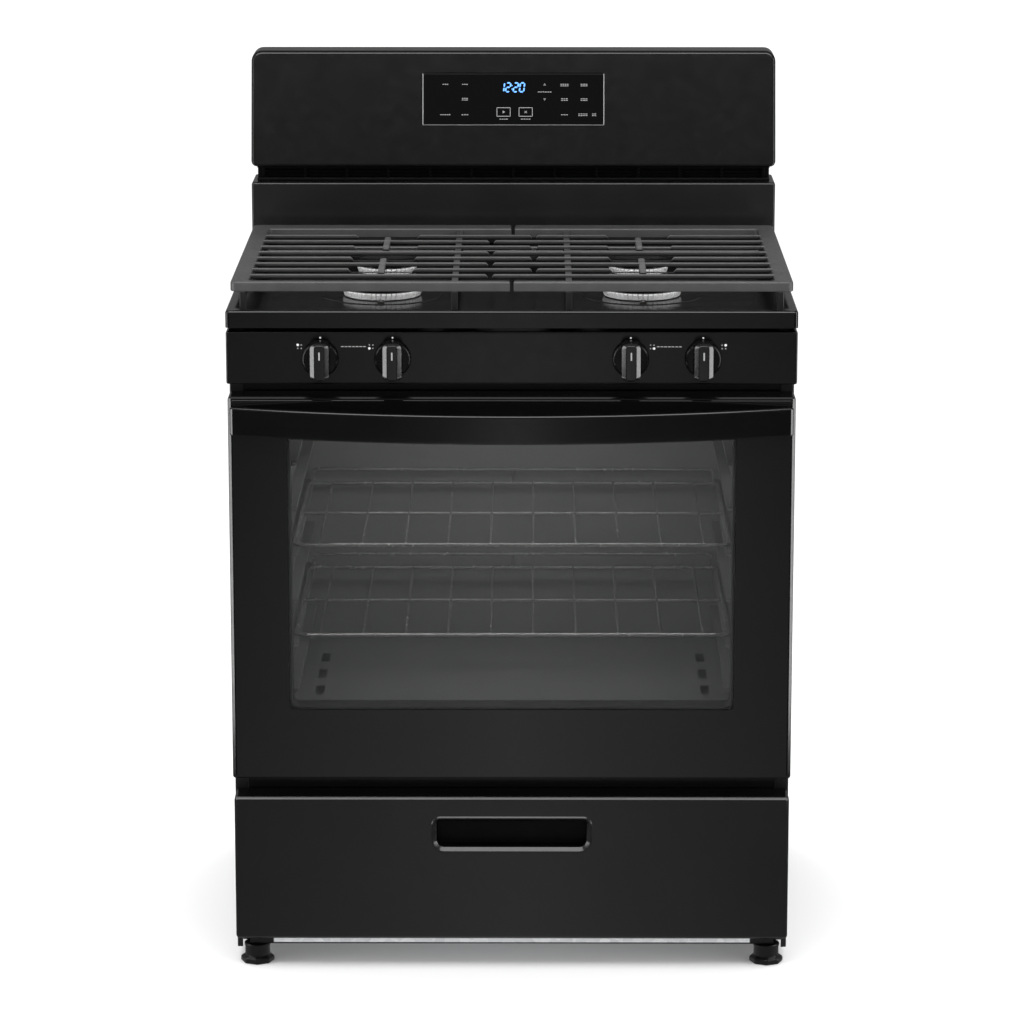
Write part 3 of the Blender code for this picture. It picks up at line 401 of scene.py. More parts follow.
class Shape:
    """One mesh being built from skins, lathes, tubes and rounded blocks."""

    axis_turns = {"Z": 0, "-Y": 90, "Y": -90}

    def __init__(self):
        self.bm = bmesh.new()

    def skin(self, rings, first=True, last=True, slots=0):
        """Faces between successive rings of points, and across the first and the last ring.

        slots is the material of them all, or a list with one for each band."""
        made = [[self.bm.verts.new(p) for p in ring] for ring in rings]
        slots = slots if isinstance(slots, list) else [slots] * (len(rings) - 1)
        for slot, a, b in zip(slots, made, made[1:]):
            for i in range(len(a)):
                j = (i + 1) % len(a)
                self.bm.faces.new((a[i], a[j], b[j], b[i])).material_index = slot
        if first:
            self.bm.faces.new(list(reversed(made[0]))).material_index = slots[0]
        if last:
            self.bm.faces.new(made[-1]).material_index = slots[-1]
        return self

    def weld(self):
        bmesh.ops.remove_doubles(self.bm, verts=self.bm.verts, dist=1e-6)
        return self

    def block(self, low, high, rounding=0.0, segments=2, slot=0, turn=None):
        """A block whose edges are rounded. A turned one is made round the turn's origin."""
        size, middle = Vector(high) - Vector(low), (Vector(high) + Vector(low)) / 2
        part = bmesh.new()
        bmesh.ops.create_cube(part, size=1.0, matrix=Matrix.Diagonal((*size, 1.0)))
        if rounding:
            round_edges(part, part.edges[:], rounding, segments)
        return self.merge(part, Matrix.Translation(middle) if turn is None else turn, slot)

    def merge(self, part, place=Matrix(), slot=0):
        """Adds another bmesh to this one."""
        bmesh.ops.transform(part, matrix=place, verts=part.verts)
        for face in part.faces:
            face.material_index = slot
        mesh = bpy.data.meshes.new("part")
        part.to_mesh(mesh)
        part.free()
        self.bm.from_mesh(mesh)
        bpy.data.meshes.remove(mesh)
        return self

    def lathe(self, profile, at, segments, axis="Z", slot=0, wave=None):
        """A turned body: profile is (radius, height) from one end to the other.

        A disc closes each end that is wider than a point."""
        turn = Matrix.Translation(at) @ Matrix.Rotation(math.radians(self.axis_turns[axis]), 4, "X")
        rings = []
        for index, (radius, height) in enumerate(profile):
            ring = []
            for i in range(segments):
                angle = 2 * math.pi * i / segments
                r = radius + (wave(index, i) if wave else 0.0)
                ring.append(turn @ Vector((r * math.cos(angle), r * math.sin(angle), height)))
            rings.append(ring)
        return self.skin(rings, profile[0][0] > POINT, profile[-1][0] > POINT, slot)

    def tube(self, path, radius, sides=10, cyclic=False, slot=0):
        """A round bar along a path, its ends domed."""
        path = [Vector(p) for p in path]
        count = len(path)
        rings = []
        normal = None
        for i, point in enumerate(path):
            before = path[i - 1] if (i or cyclic) else point
            after = path[(i + 1) % count] if (i < count - 1 or cyclic) else point
            along = (after - before).normalized()
            if normal is None:
                normal = along.orthogonal().normalized()
            normal = (normal - along * normal.dot(along)).normalized()
            side = along.cross(normal)
            circle = []
            for k in range(sides):
                angle = 2 * math.pi * k / sides
                circle.append((normal * math.cos(angle) + side * math.sin(angle)) * radius)
            dome = [(1.0, 0.0)]
            if i == 0 and not cyclic:
                dome = [(0.35, -0.94), (0.8, -0.6), (1.0, 0.0)]
            elif i == count - 1 and not cyclic:
                dome = [(1.0, 0.0), (0.8, 0.6), (0.35, 0.94)]
            for share, ahead in dome:
                rings.append([point + along * radius * ahead + c * share for c in circle])
        if cyclic:
            return self.skin(rings + rings[:1], False, False, slot).weld()
        return self.skin(rings, slots=slot)

    def bar(self, stations, a_axis, b_axis, slot=0, foot=1.0):
        """A bar of rounded section, through stations of (centre, half_a, half_b).

        foot is the width of the section's lower edge, as a share of its upper edge."""
        rings = []
        for centre, half_a, half_b in stations:
            corner = min(half_a, half_b) * (0.55 if foot == 1.0 else 0.3)
            ring = []
            for a, b in outline(-half_a, half_a, -half_b, half_b, corner, steps=3):
                width = foot + (1 - foot) * (b + half_b) / (2 * half_b)
                ring.append(Vector(centre) + a_axis * a * width + b_axis * b)
            rings.append(ring)
        return self.skin(rings, slots=slot)

    def carve(self, cutter, operation="DIFFERENCE"):
        """Cuts another shape from this one, or joins it on."""
        objects = []
        for bm in (self.bm, cutter.bm):
            bmesh.ops.recalc_face_normals(bm, faces=bm.faces)
            mesh = bpy.data.meshes.new("tool")
            bm.to_mesh(mesh)
            made = bpy.data.objects.new("tool", mesh)
            bpy.context.scene.collection.objects.link(made)
            objects.append(made)
        boolean = objects[0].modifiers.new("cut", "BOOLEAN")
        boolean.operation, boolean.solver, boolean.object = operation, "EXACT", objects[1]
        boolean.material_mode = "INDEX"
        graph = bpy.context.evaluated_depsgraph_get()
        result = bpy.data.meshes.new_from_object(objects[0].evaluated_get(graph))
        self.bm.clear()
        self.bm.from_mesh(result)
        for made in objects:
            bpy.data.objects.remove(made, do_unlink=True)
        bpy.data.meshes.remove(result)
        cutter.bm.free()
        return self

    def join(self, other):
        return self.carve(other, "UNION")

    def piece(self, name, body, materials, replaces=(), slot=None, angle=32.0):
        """Makes the object, which rides on a body and stands for CAD nodes."""
        bmesh.ops.recalc_face_normals(self.bm, faces=self.bm.faces)
        mesh = bpy.data.meshes.new(name)
        self.bm.to_mesh(mesh)
        self.bm.free()
        for polygon in mesh.polygons:
            polygon.use_smooth = True
        mesh.set_sharp_from_angle(angle=math.radians(angle))
        made = bpy.data.objects.new(name, mesh)
        bpy.context.scene.collection.objects.link(made)
        flat = made.modifiers.new("flat_faces", "WEIGHTED_NORMAL")
        flat.keep_sharp, flat.weight = True, 60
        for material in materials if isinstance(materials, list) else [materials]:
            mesh.materials.append(material)
        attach(made, body)
        if replaces:
            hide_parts(*replaces)


def screws(name, body, y, size, places):
    """Pan-head screws with cross recesses, standing on a rear face at each (x, z)."""
    height, arm, slit = size * 0.55, size * 0.55, size * 0.12
    profile = [(size * 0.9, -0.0004), (size, 0.0), (size, height * 0.4), (size * 0.86, height * 0.8),
               (arm, height), (POINT, height)]
    shape = Shape()
    for x, z in places:
        head = Shape().lathe(profile, (0, 0, 0), 20)
        for long, short in ((arm, slit), (slit, arm)):
            head.carve(Shape().block((-long, -short, height * 0.35), (long, short, height * 2)))
        to_rear = Matrix.Rotation(math.radians(-90), 4, "X")
        shape.merge(head.bm, Matrix.Translation((x, y, z)) @ to_rear)
    shape.piece(name, body, STEEL)


def folded_panel(low, high, front, rear, radius):
    """A full-width sheet box open to the rear, its front edge rounded."""

    def rings(t):
        rounding = radius - t * 0.8

        def ring(y, inset=0.0):
            side, corner = HALF_WIDTH - t - inset, max(rounding - inset, 0.0006)
            return front_ring(-side, side, low + t + inset, high - t - inset, y, corner)

        bend = front + t + rounding
        return [ring(rear), ring(bend)] + [ring(bend - rise, inset) for inset, rise in quarter(rounding)]

    return Shape().skin(both_faces(rings))


# ---------------------------------------------------------------- cabinet
def side_panel(side, sign):
    """Painted sheet side with its front and rear edges folded inwards round bends."""
    outer, front, rear, edge, thick, radius = 0.378, -0.245, 0.345, 0.360, 0.001, 0.0025
    low, high = 0.018, 0.889
    bends = ((outer - radius, front + radius, -90), (outer - radius, rear - radius, 0))
    line = [(edge, front)]
    for x, y, begin in bends:
        line += arc(x, y, radius, begin)
    line += [(edge, rear), (edge, rear - thick)]
    for x, y, begin in reversed(bends):
        line += reversed(list(arc(x, y, radius - thick, begin)))
    line.append((edge, front + thick))
    near, far = sorted((sign * 0.350, sign * 0.3705))
    notch = Shape().block((near, -0.260, 0.0), (far, -0.230, 0.0285))
    shape = Shape().skin([[(sign * x, y, z) for x, y in line] for z in (low, high)]).carve(notch)
    name = "side_panel_" + side
    shape.piece(name + "_sheet", "cabinet", BLACK_SIDE, [name], "black_enamel", 40.0)


def cooktop():
    """Pressed enamelled top: rounded rim, sunken well with soft walls and bowls, turned-down skirt."""
    front, rear, skirt_low, bend = -0.290, 0.3468, 0.891, 0.0035

    def rings(t):
        """The sheet's rings at depth t inside it, from the skirt's foot in to the well's floor."""

        def ring(z, inset=0.0):
            edge, corner = t + inset, 0.006 - t - inset * 0.6
            side = HALF_WIDTH - edge
            return flat_ring(-side, side, front + edge, rear - edge, z, corner)

        made = [ring(skirt_low), ring(RIM_Z - bend)]
        made += [ring(RIM_Z - bend + rise, inset) for inset, rise in quarter(bend - t)]
        for i in range(7):
            share = i / 6
            x = 0.3668 - 0.0035 * share + t * 0.6
            y0 = -0.2775 + 0.009 * share - t * 0.6
            y1 = 0.2675 - 0.007 * share + t * 0.6
            made.append(flat_ring(-x, x, y0, y1, RIM_Z - t - (RIM_Z - WELL_Z) * eased(share), 0.014))
        return made

    shape = Shape().skin(both_faces(rings))
    bowls = Shape()
    for _, x, y, crown in BURNERS:
        lip = crown + 0.022
        shape.carve(Shape().lathe([(lip, 0.89), (lip, 0.91)], (x, y, 0.0), 72))
        upper = [
            (lip - inset, WELL_Z + fall) for inset, fall in (
                (-0.001, 0.0002), (0.0, 0.0001), (0.003, -0.0003), (0.006, -0.0012), (0.009, -0.003),
                (0.0125, -0.0054), (0.0155, -0.0069), (0.0185, -0.0077), (0.022, -0.008),
                (lip - 0.029, -0.008))
        ]
        lower = [(radius, height - SHEET) for radius, height in reversed(upper)]
        bowls.lathe(upper + lower + upper[:1], (x, y, 0.0), 72)
    shape.merge(bowls.weld().bm)
    shape.piece("cooktop_pressing", "cabinet", BLACK_TOP, ["cooktop"], "black_enamel", 40.0)


def burner_beads():
    """Shallow raised beads pressed round each burner's bowl."""
    shape = Shape()
    for _, x, y, crown in BURNERS:
        radius = crown + 0.025
        profile = [
            (radius + out, WELL_Z + rise) for out, rise in (
                (-0.0036, -0.0004), (-0.0024, 0.0006), (0.0, 0.001), (0.0024, 0.0006),
                (0.0036, -0.0004), (-0.0036, -0.0004))
        ]
        shape.lathe(profile, (x, y, 0.0), 72)
    shape.weld().piece("burner_beads", "cabinet", BLACK_TOP, slot="black_enamel")


def burner(label, x, y, crown):
    """Cast aluminium head with its ring of flame ports, the cap on it and its spark electrode."""
    body = crown - 0.008
    place = (x, y, 0.0)
    port_pitch = 8
    head = Shape().lathe(
        [
            (0.0235, 0.8822), (0.0268, 0.8822), (0.027, 0.8832), (0.027, 0.8972),
            (body - 0.0022, 0.8972), (body - 0.0014, 0.898), (body, 0.9055), (body, 0.9068),
            (0.0235, 0.9068), (0.0235, 0.8822),
        ],
        place, 64, slot=1)

    def ports(index, i):
        """A narrow port is cut down into the crown's upper edge at even steps."""
        return -0.0065 if 3 <= index <= 5 and i % port_pitch < 1 else 0.0

    inner = crown - 0.012
    head.lathe(
        [
            (inner, 0.9062), (crown - 0.003, 0.9062), (crown - 0.0024, 0.9066),
            (crown - 0.0009, 0.9112), (crown - 0.0003, 0.9136), (crown - 0.0006, 0.9142),
            (crown - 0.008, 0.9166), (inner, 0.9166), (inner, 0.9062),
        ],
        place, (48 if crown > 0.05 else 36) * port_pitch, wave=ports)
    head.weld().piece(
        "burner_" + label, "cabinet", [CROWN_PAINTED_LIGHT, BURNER_BASE_PAINTED_LIGHT], ["burner_head_" + label], "aluminium", 28.0)
    edge = crown - 0.0015
    cap = Shape().lathe(
        [
            (edge - 0.0085, 0.9168), (edge - 0.0022, 0.9158), (edge - 0.0006, 0.9154),
            (edge, 0.9162), (edge, 0.9206), (edge - 0.0005, 0.9223), (edge - 0.0022, 0.9242),
            (edge - 0.005, 0.9253), (edge - 0.011, 0.9258), (edge * 0.4, 0.9259), (POINT, 0.9259),
        ],
        place, 72)
    cap.piece("cap_" + label, "cap_" + label, BLACK_TOP, ["burner_cap_" + label], "black_enamel")
    before = (x, y - crown - 0.009, 0.0)
    spark = Shape().lathe(
        [
            (0.0048, 0.8972), (0.0048, 0.9035), (0.0038, 0.9041), (0.0038, 0.9049), (0.0048, 0.9054),
            (0.0048, 0.9075), (0.0038, 0.9087), (0.0018, 0.9093), (POINT, 0.9093),
        ],
        before, 24)
    spark.lathe([(0.0008, 0.909), (0.0008, 0.9118), (0.0005, 0.9127), (POINT, 0.913)], before, 12, slot=1)
    spark.piece("spark_" + label, "cabinet", [CERAMIC, STEEL], ["spark_electrode_" + label], "ceramic")


# ---------------------------------------------------------------- grates
def finger(sign, y, reach, dips):
    """A bar from the side rail to its drooping end. A dipping bar is lower over the burner."""
    dip_steps = (0.046, 0.0445, 0.0425, 0.0405)
    xs = [0.3525]
    if dips:
        xs += [BURNER_X + step for step in dip_steps] + [BURNER_X - step for step in dip_steps[::-1]]
    droop = 0.0042
    xs += [reach + step for step in (droop, 0.0028, 0.0015, 0.0005, 0.0)]
    stations = []
    for x in xs:
        low, high = 0.9432, GRATE_TOP - 0.0003
        away = abs(x - BURNER_X)
        if dips and away < dip_steps[0] + 0.0001:
            high -= 0.0052 * eased(min(1.0, (dip_steps[0] - away) / 0.0055))
        near = x - reach
        if near < droop - 0.0001:
            high -= droop * (1 - near / droop) ** 2
        width = 0.0047 if near > 0.0004 else 0.0038
        stations.append(((sign * x, y, (low + high) / 2), width, (high - low) / 2))
    return Shape().bar(stations, BACKWARD, UPRIGHT, slot=1, foot=0.3)


def cross_finger(sign, middle, half):
    """A short bar across the fingers over a burner, drooping at both ends."""
    low, droop = 0.9393, 0.006
    stations = []
    for offset in (-half, 0.0008 - half, 0.0025 - half, droop - half, half - droop, half - 0.0025,
                   half - 0.0008, half):
        share = max(0.0, 1 - (half - abs(offset)) / droop)
        high = GRATE_TOP - 0.0008 - 0.0042 * share**2
        stations.append(
            ((sign * BURNER_X, middle + offset, (low + high) / 2), 0.0046, (high - low) / 2))
    return Shape().bar(stations, RIGHTWARD, UPRIGHT, slot=1)


def grate(side, sign):
    """Cast grate: a C-shaped rail, fingers with drooping ends, a rib, cross fingers and feet."""
    rail_low, rib_x = 0.9355, 0.076
    outer, inner, split = 0.374, 0.350, 0.0025
    front, rear, rail_in, rear_in = -0.265, 0.235, -0.253, 0.200
    plan = [(split, front)]
    plan += arc(outer - 0.009, front + 0.009, 0.009, -90)
    plan += arc(outer - 0.009, rear - 0.009, 0.009, 0)
    plan += [(split, rear), (split, rear_in)]
    plan += reversed(list(arc(inner - 0.006, rear_in - 0.006, 0.006, 0)))
    plan += reversed(list(arc(inner - 0.006, rail_in + 0.006, 0.006, -90)))
    plan.append((split, rail_in))
    cast = Shape().skin([[(sign * x, y, z) for x, y in plan] for z in (rail_low, GRATE_TOP)])
    bmesh.ops.recalc_face_normals(cast.bm, faces=cast.bm.faces)
    for level, width in ((GRATE_TOP, 0.0026), (rail_low, 0.0014)):
        edges = [e for e in cast.bm.edges if all(abs(v.co.z - level) < 1e-6 for v in e.verts)]
        round_edges(cast.bm, edges, width, 3)
    for i in range(8):
        far_left = i % 2 == 0
        reach = -0.027 if (sign < 0) == far_left else 0.0325
        cast.join(finger(sign, 0.1395 - 0.049 * i, reach, far_left))
    rib = [((sign * rib_x, y, 0.9412), 0.0046, 0.0042) for y in (-0.2545, 0.2015)]
    cast.join(Shape().bar(rib, RIGHTWARD, UPRIGHT, foot=0.5))
    for middle, half in ((-0.110, 0.053), (0.085, 0.0445)):
        cast.join(cross_finger(sign, middle, half))
    flare = ((0.9053, 0.0046), (0.9057, 0.0052), (0.9085, 0.0052), (0.912, 0.0044), (0.931, 0.0046),
             (0.938, 0.0052))
    for x in (0.3575, rib_x):
        for y in (-0.2595, 0.2175):
            foot = [((sign * x, y, z), half, half) for z, half in flare]
            cast.join(Shape().bar(foot, RIGHTWARD, BACKWARD))
    name = "grate_" + side
    cast.piece(name + "_cast", name, [IRON_PAINTED_LIGHT, IRON_PAINTED_LIGHT_BAR], [name], "cast_iron", 38.0)


# ---------------------------------------------------------------- control panel and knobs
def control_panel():
    """Folded panel with a soft front edge all round and a hole at each valve stem."""
    shape = folded_panel(0.814, 0.8855, PANEL_FRONT, -0.2455, 0.003)
    for x in KNOB_X:
        shape.carve(Shape().lathe([(0.0065, 0.27), (0.0065, 0.30)], (x, 0.0, KNOB_Z), 32, "-Y"))
    shape.piece("control_panel", "cabinet", BLACK_PANEL, ["manifold_panel"], "black_enamel", 40.0)


def knob(number, x):
    """Push-and-turn knob: a bevelled skirt, a tall tapered grip with a pointer line."""
    rear, bore = PANEL_FRONT - 0.0035, 0.0041
    shape = Shape().lathe(
        [
            (bore, 0.0), (0.0238, 0.0), (0.0244, 0.0006), (0.0244, 0.0028), (0.0236, 0.0046),
            (0.0222, 0.0062), (0.0205, 0.007), (bore, 0.0072),
        ],
        (x, rear, KNOB_Z), 64, "-Y", slot=2)
    grip = []
    for depth, half_x, half_z, corner in (
        (0.0045, 0.0136, 0.0262, 0.0085), (0.012, 0.0132, 0.0259, 0.0082),
        (0.022, 0.0128, 0.0256, 0.008), (0.0258, 0.0126, 0.0254, 0.0078),
        (0.0262, 0.0123, 0.0252, 0.0076), (0.0303, 0.0072, 0.0232, 0.004),
        (0.0308, 0.0066, 0.0226, 0.0035), (0.031, 0.0058, 0.0218, 0.003),
    ):
        low, high = KNOB_Z - half_z, KNOB_Z + half_z
        grip.append(front_ring(x - half_x, x + half_x, low, high, rear - depth, corner, steps=6))
    shape.join(Shape().skin(grip))
    shape.carve(Shape().lathe([(bore, 0.27), (bore, 0.3075)], (x, 0.0, KNOB_Z), 24, "-Y"))
    low, high = (x - 0.001, rear - 0.0312, KNOB_Z + 0.0035), (x + 0.001, rear - 0.0305, KNOB_Z + 0.0143)
    shape.block(low, high, 0.0003, slot=1)
    body = f"knob_{number}"
    materials = [KNOB_PLASTIC, GREY_INK, SKIRT_PLASTIC_PAINTED_SHADE]
    shape.piece(f"knob_grip_{number}", body, materials, [body], "black_plastic", 35.0)


def panel_marks():
    """Index dots, burner diagrams and plain dashes printed on the control panel."""
    shape = Shape()
    y, half = PANEL_FRONT, 0.0001

    def dot(x, z, radius, slot=0):
        shape.lathe([(radius, half), (radius, -half), (POINT, -half)], (x, y, z), 12, "Y", slot)

    for x in KNOB_X:
        dot(x, 0.877, 0.0012)
    for place, lit in ((-0.2815, 2), (-0.1865, 0), (0.1865, 1), (0.2815, 3)):
        for index, (dx, dz) in enumerate(((-1, -1), (1, -1), (-1, 1), (1, 1))):
            radius, slot = (0.0017, 0) if index == lit else (0.0009, 1)
            dot(place + dx * 0.0023, 0.865 + dz * 0.0023, radius, slot)
    for middle in (-0.2095, 0.2095):
        for i in range(7):
            left = middle - 0.017 + i * 0.0049
            shape.block((left, y - half, 0.8645), (left + 0.0036, y + half, 0.8657), slot=1)
    shape.piece("panel_marks", "cabinet", [WHITE_INK, GREY_INK])


# ---------------------------------------------------------------- backguard
def riser():
    """Folded upright sheet behind the cooktop, which carries the console."""
    shape = folded_panel(0.9145, 1.004, 0.280, SHELL_REAR, 0.0035)
    shape.piece("riser_sheet", "cabinet", BLACK_RISER_PAINTED_LIGHT, ["backguard_riser"], "black_enamel", 40.0)


def vent():
    """Vent moulding between riser and console: a dark slot with raked bars."""
    shape = Shape()
    for half_x, front, rear, low, high, rounding in (
        (0.372, 0.3105, 0.3652, 1.0043, 1.0267, 0.001),
        (0.372, 0.296, 0.3108, 1.0043, 1.0088, 0.0012),
        (0.372, 0.296, 0.3108, 1.0228, 1.0267, 0.0012),
        (0.366, 0.3035, 0.3108, 1.0125, 1.0137, 0.0004),
        (0.366, 0.3035, 0.3108, 1.0172, 1.0184, 0.0004),
    ):
        shape.block((-half_x, front, low), (half_x, rear, high), rounding)
    for i in range(13):
        x = -0.363 + 0.0605 * i
        shape.block((x - 0.0022, 0.3045, 1.008), (x + 0.0022, 0.311, 1.0235), 0.0008)
    shape.piece("vent_louvres", "cabinet", VENT_PLASTIC, ["vent_trim"], "black_plastic", 40.0)


def face_y(z):
    return CONSOLE_FRONT_LOW + (z - CONSOLE_LOW) * math.tan(LEAN)


ON_FACE = Matrix.Translation((0.0, face_y(TOUCH_Z), TOUCH_Z)) @ Matrix.Rotation(-LEAN, 4, "X")


def on_face(points, depth):
    """Points (x, z) laid on the leaning console at a depth behind its face."""
    return [ON_FACE @ Vector((x, depth, z)) for x, z in points]


def console():
    """Moulded console: rounded corners, soft front edge and a recess for the touch panel."""

    def ring(inset, depth, y_rear=None):
        points = outline(
            -HALF_WIDTH + inset, HALF_WIDTH - inset, CONSOLE_LOW + inset, CONSOLE_HIGH - inset,
            max(0.008 - inset, 0.001), max(0.015 - inset, 0.001), 6)
        return [(x, y_rear or face_y(z) + depth, z) for x, z in points]

    def rings(t):
        radius = 0.0045 - t * 0.9
        made = [ring(t, 0.0, SHELL_REAR), ring(t, 0.0045)]
        for inset, rise in quarter(radius, 5):
            made.append(ring(t + inset, 0.0045 - rise + t * 0.1))
        return made

    def recess(grow, depth):
        half_x, half_z = 0.1313 + grow, 0.0377 + grow
        return on_face(outline(-half_x, half_x, -half_z, half_z, 0.0025, steps=6), depth)

    outer = rings(0.0) + [recess(0.0008, 0.0), recess(0.0, 0.0008), recess(0.0, 0.0034)]
    inner = rings(0.0022) + [recess(0.002, 0.0024), recess(0.002, 0.0055)]
    shape = Shape().skin(inner[::-1] + outer)
    shape.piece("console_moulding", "cabinet", BLACK_CONSOLE, ["console_shell"], "black_plastic", 40.0)


def touch_glass():
    """Black touch glass, with thin pale strips on three sides as painted highlights where its edges catch
    light; the lower strip is dimmer.
    """
    half_x, half_z = 0.1305, 0.0369
    rings = []
    for inset, depth in ((0.0006, 0.003), (0.0, 0.0026), (0.0, 0.0), (0.0006, -0.0004)):
        side, end = half_x - inset, half_z - inset
        rings.append(on_face(outline(-side, side, -end, end, 0.002), depth))
    Shape().skin(rings).piece("touch_glass", "cabinet", TOUCH, ["touch_panel"], "black_glass")
    trim = Shape()
    wide, tall, foot = 0.1309, 0.0363, -0.0373
    for path, slot in (
        (((-wide, tall), (-wide, -tall)), 0), (((wide, tall), (wide, -tall)), 0),
        (((-wide, foot), (wide, foot)), 1),
    ):
        trim.tube(on_face(path, 0.0), 0.00058, 8, slot=slot)
    trim.piece("touch_trim", "cabinet", [BEZEL_PAINTED_HIGHLIGHT, BEZEL_PAINTED_HIGHLIGHT_DIM])


def touch_marks():
    """Marks printed on the touch glass: plain dashes, two framed keys and small arrows."""
    marks = Shape()
    front, rear = -0.00052, -0.00038
    key_x, key_z, key_half_x, key_half_z, line = (-0.0142, 0.0178), -0.0185, 0.0096, 0.0062, 0.00045

    def mark(x, z, half_x, half_z):
        low, high = Vector((x - half_x, front, z - half_z)), Vector((x + half_x, rear, z + half_z))
        marks.block(low, high, slot=1, turn=ON_FACE @ Matrix.Translation((low + high) / 2))

    def words(x, z, width, rows):
        """A key's legend as rows of plain dashes."""
        pitch = 0.0023
        count = max(2, round(width / 0.0034))
        step = width / count
        for row in range(rows):
            for i in range(count):
                level = z + (rows - 1) * pitch / 2 - row * pitch
                mark(x - width / 2 + step * (i + 0.5), level, step * 0.38, 0.00055)

    def triangle(x, z, angle, slot):
        size = 0.0024
        turns = [math.radians(angle + 120 * i) for i in range(3)]
        points = [(x + size * math.cos(turn), z + size * math.sin(turn)) for turn in turns]
        marks.skin([on_face(points, rear), on_face(points, front)], slots=slot)

    for x, z, width, rows in (
        (-0.0985, 0.0215, 0.009, 1), (-0.0702, 0.0215, 0.009, 1), (-0.0702, 0.0, 0.0095, 2),
        (-0.0985, -0.0225, 0.0155, 1), (-0.0702, -0.0225, 0.0105, 1), (0.0452, 0.0105, 0.0205, 1),
        (0.0738, 0.0205, 0.0125, 2), (0.1022, 0.0205, 0.0105, 2), (0.0738, -0.0005, 0.0105, 2),
        (0.1022, -0.0005, 0.0105, 2), (0.0738, -0.0225, 0.0105, 1), (0.1005, -0.0225, 0.014, 2),
        (0.1168, -0.0225, 0.0065, 2), (key_x[0], -0.0288, 0.0125, 1), (key_x[1], -0.0288, 0.0145, 1),
    ):
        words(x, z, width, rows)
    for x in key_x:
        for side in (-1, 1):
            mark(x + side * key_half_x, key_z, line, key_half_z + line)
            mark(x, key_z + side * key_half_z, key_half_x + line, line)
    triangle(key_x[0], key_z, 0, 1)
    triangle(0.0452, 0.021, 90, 2)
    triangle(0.0452, 0.0, -90, 2)
    for angle in (45, -45):
        place = ON_FACE @ Matrix.Translation((key_x[1], (front + rear) / 2, key_z))
        turn = place @ Matrix.Rotation(math.radians(angle), 4, "Y")
        half = Vector((0.0022, (rear - front) / 2, 0.0004))
        marks.block(-half, half, slot=1, turn=turn)
    marks.piece("touch_marks", "cabinet", [WHITE_INK, GREY_INK, DIM_INK])


def touch_digits():
    """A clock of slanted seven-segment digits with a colon."""
    digits = Shape()
    wide, tall, half_line, slant, middle = 0.0062, 0.0128, 0.00105, 0.12, 0.0172
    places = {
        "a": (0, tall / 2, False), "g": (0, 0, False), "d": (0, -tall / 2, False),
        "b": (wide / 2, tall / 4, True), "c": (wide / 2, -tall / 4, True),
        "e": (-wide / 2, -tall / 4, True), "f": (-wide / 2, tall / 4, True),
    }

    def stroke(x, z, upright):
        half = tall / 4 - 0.0004 if upright else wide / 2 - 0.0006
        flat = half - half_line
        ring = [(-half, 0), (-flat, half_line), (flat, half_line), (half, 0), (flat, -half_line),
                (-flat, -half_line)]
        if upright:
            ring = [(b, a) for a, b in ring]
        points = [(x + a + (z + b) * slant, middle + z + b) for a, b in ring]
        digits.skin([on_face(points, depth) for depth in (-0.00038, -0.00056)])

    for segments, x in (("bc", -0.0165), ("abged", -0.0075), ("abged", 0.0035), ("abcdef", 0.0125)):
        for segment in segments:
            dx, dz, upright = places[segment]
            stroke(x + dx, dz, upright)
    for z in (-0.0026, 0.0026):
        half = Vector((0.0007, 0.00009, 0.0007))
        digits.block(-half, half, turn=ON_FACE @ Matrix.Translation((-0.002, -0.00047, middle + z)))
    digits.piece("touch_digits", "cabinet", DIGITS)


# ---------------------------------------------------------------- oven door
EARS = (0.3528, 0.3529, 0.3591, 0.3592)
EAR_LIFT = 0.0087
DOOR_SEAT = (0.3727, 0.2756, 0.7954, 0.0015)


def door_ring(x1, z0, z1, radius, y, lift=0.0):
    """A ring round the door with extra points at the hinge ears. y is a number or a function."""
    points = outline(-x1, x1, z0, z1, radius, steps=4)
    ears = []
    for x in [-ear for ear in reversed(EARS)] + list(EARS):
        ears.append((x, z0 + lift if abs(x) in EARS[1:3] else z0))
    ring = points[:5] + [(x1, HINGE_Z)] + points[5:15] + [(-x1, HINGE_Z)] + points[15:] + ears
    return [(x, y(x, z) if callable(y) else y, z) for x, z in ring]


def door_back(x, z):
    """The door skin's rear edge: cut back below the hinge axis and in front of the hinge ears."""
    if z < 0.277 and abs(x) in EARS[1:3]:
        return -0.276
    return min(-0.252, HINGE_Y + (z - (HINGE_Z - 0.0115)) - 0.0004)


def door_skin():
    """Enamelled door skin: rounded outer edge, a narrow bright lip round the glass, a rear flange."""
    x1, z0, z1, r, t = 0.3775, 0.273, 0.799, 0.004, 0.0014
    front, back = -0.2921, -0.2907
    opening, inside = (0.302, 0.366, 0.758, 0.004), (x1 - t, z0 + t, z1 - t, r - t)
    rings = [
        door_ring(*opening, front), door_ring(*DOOR_SEAT, front),
        door_ring(*DOOR_SEAT, DOOR_FRONT + 0.0004),
        door_ring(0.3731, 0.2752, 0.7958, 0.0018, DOOR_FRONT),
    ]
    for inset, depth in ((0.0042, 0.0001), (0.0038, 0.0004), (0.0003, 0.0032), (0.0, 0.0038)):
        radius = max(r - inset, 0.0018)
        rings.append(
            door_ring(x1 - inset, z0 + inset, z1 - inset * 0.45, radius, DOOR_FRONT + depth))
    rings += [
        door_ring(x1, z0, z1, r, door_back), door_ring(*inside, door_back),
        door_ring(*inside, back), door_ring(*opening, back), rings[0],
    ]
    shape = Shape().skin(rings, False, False).weld()
    shape.piece("door_skin", "door", BLACK, ["door_frame"], "black_enamel", 40.0)


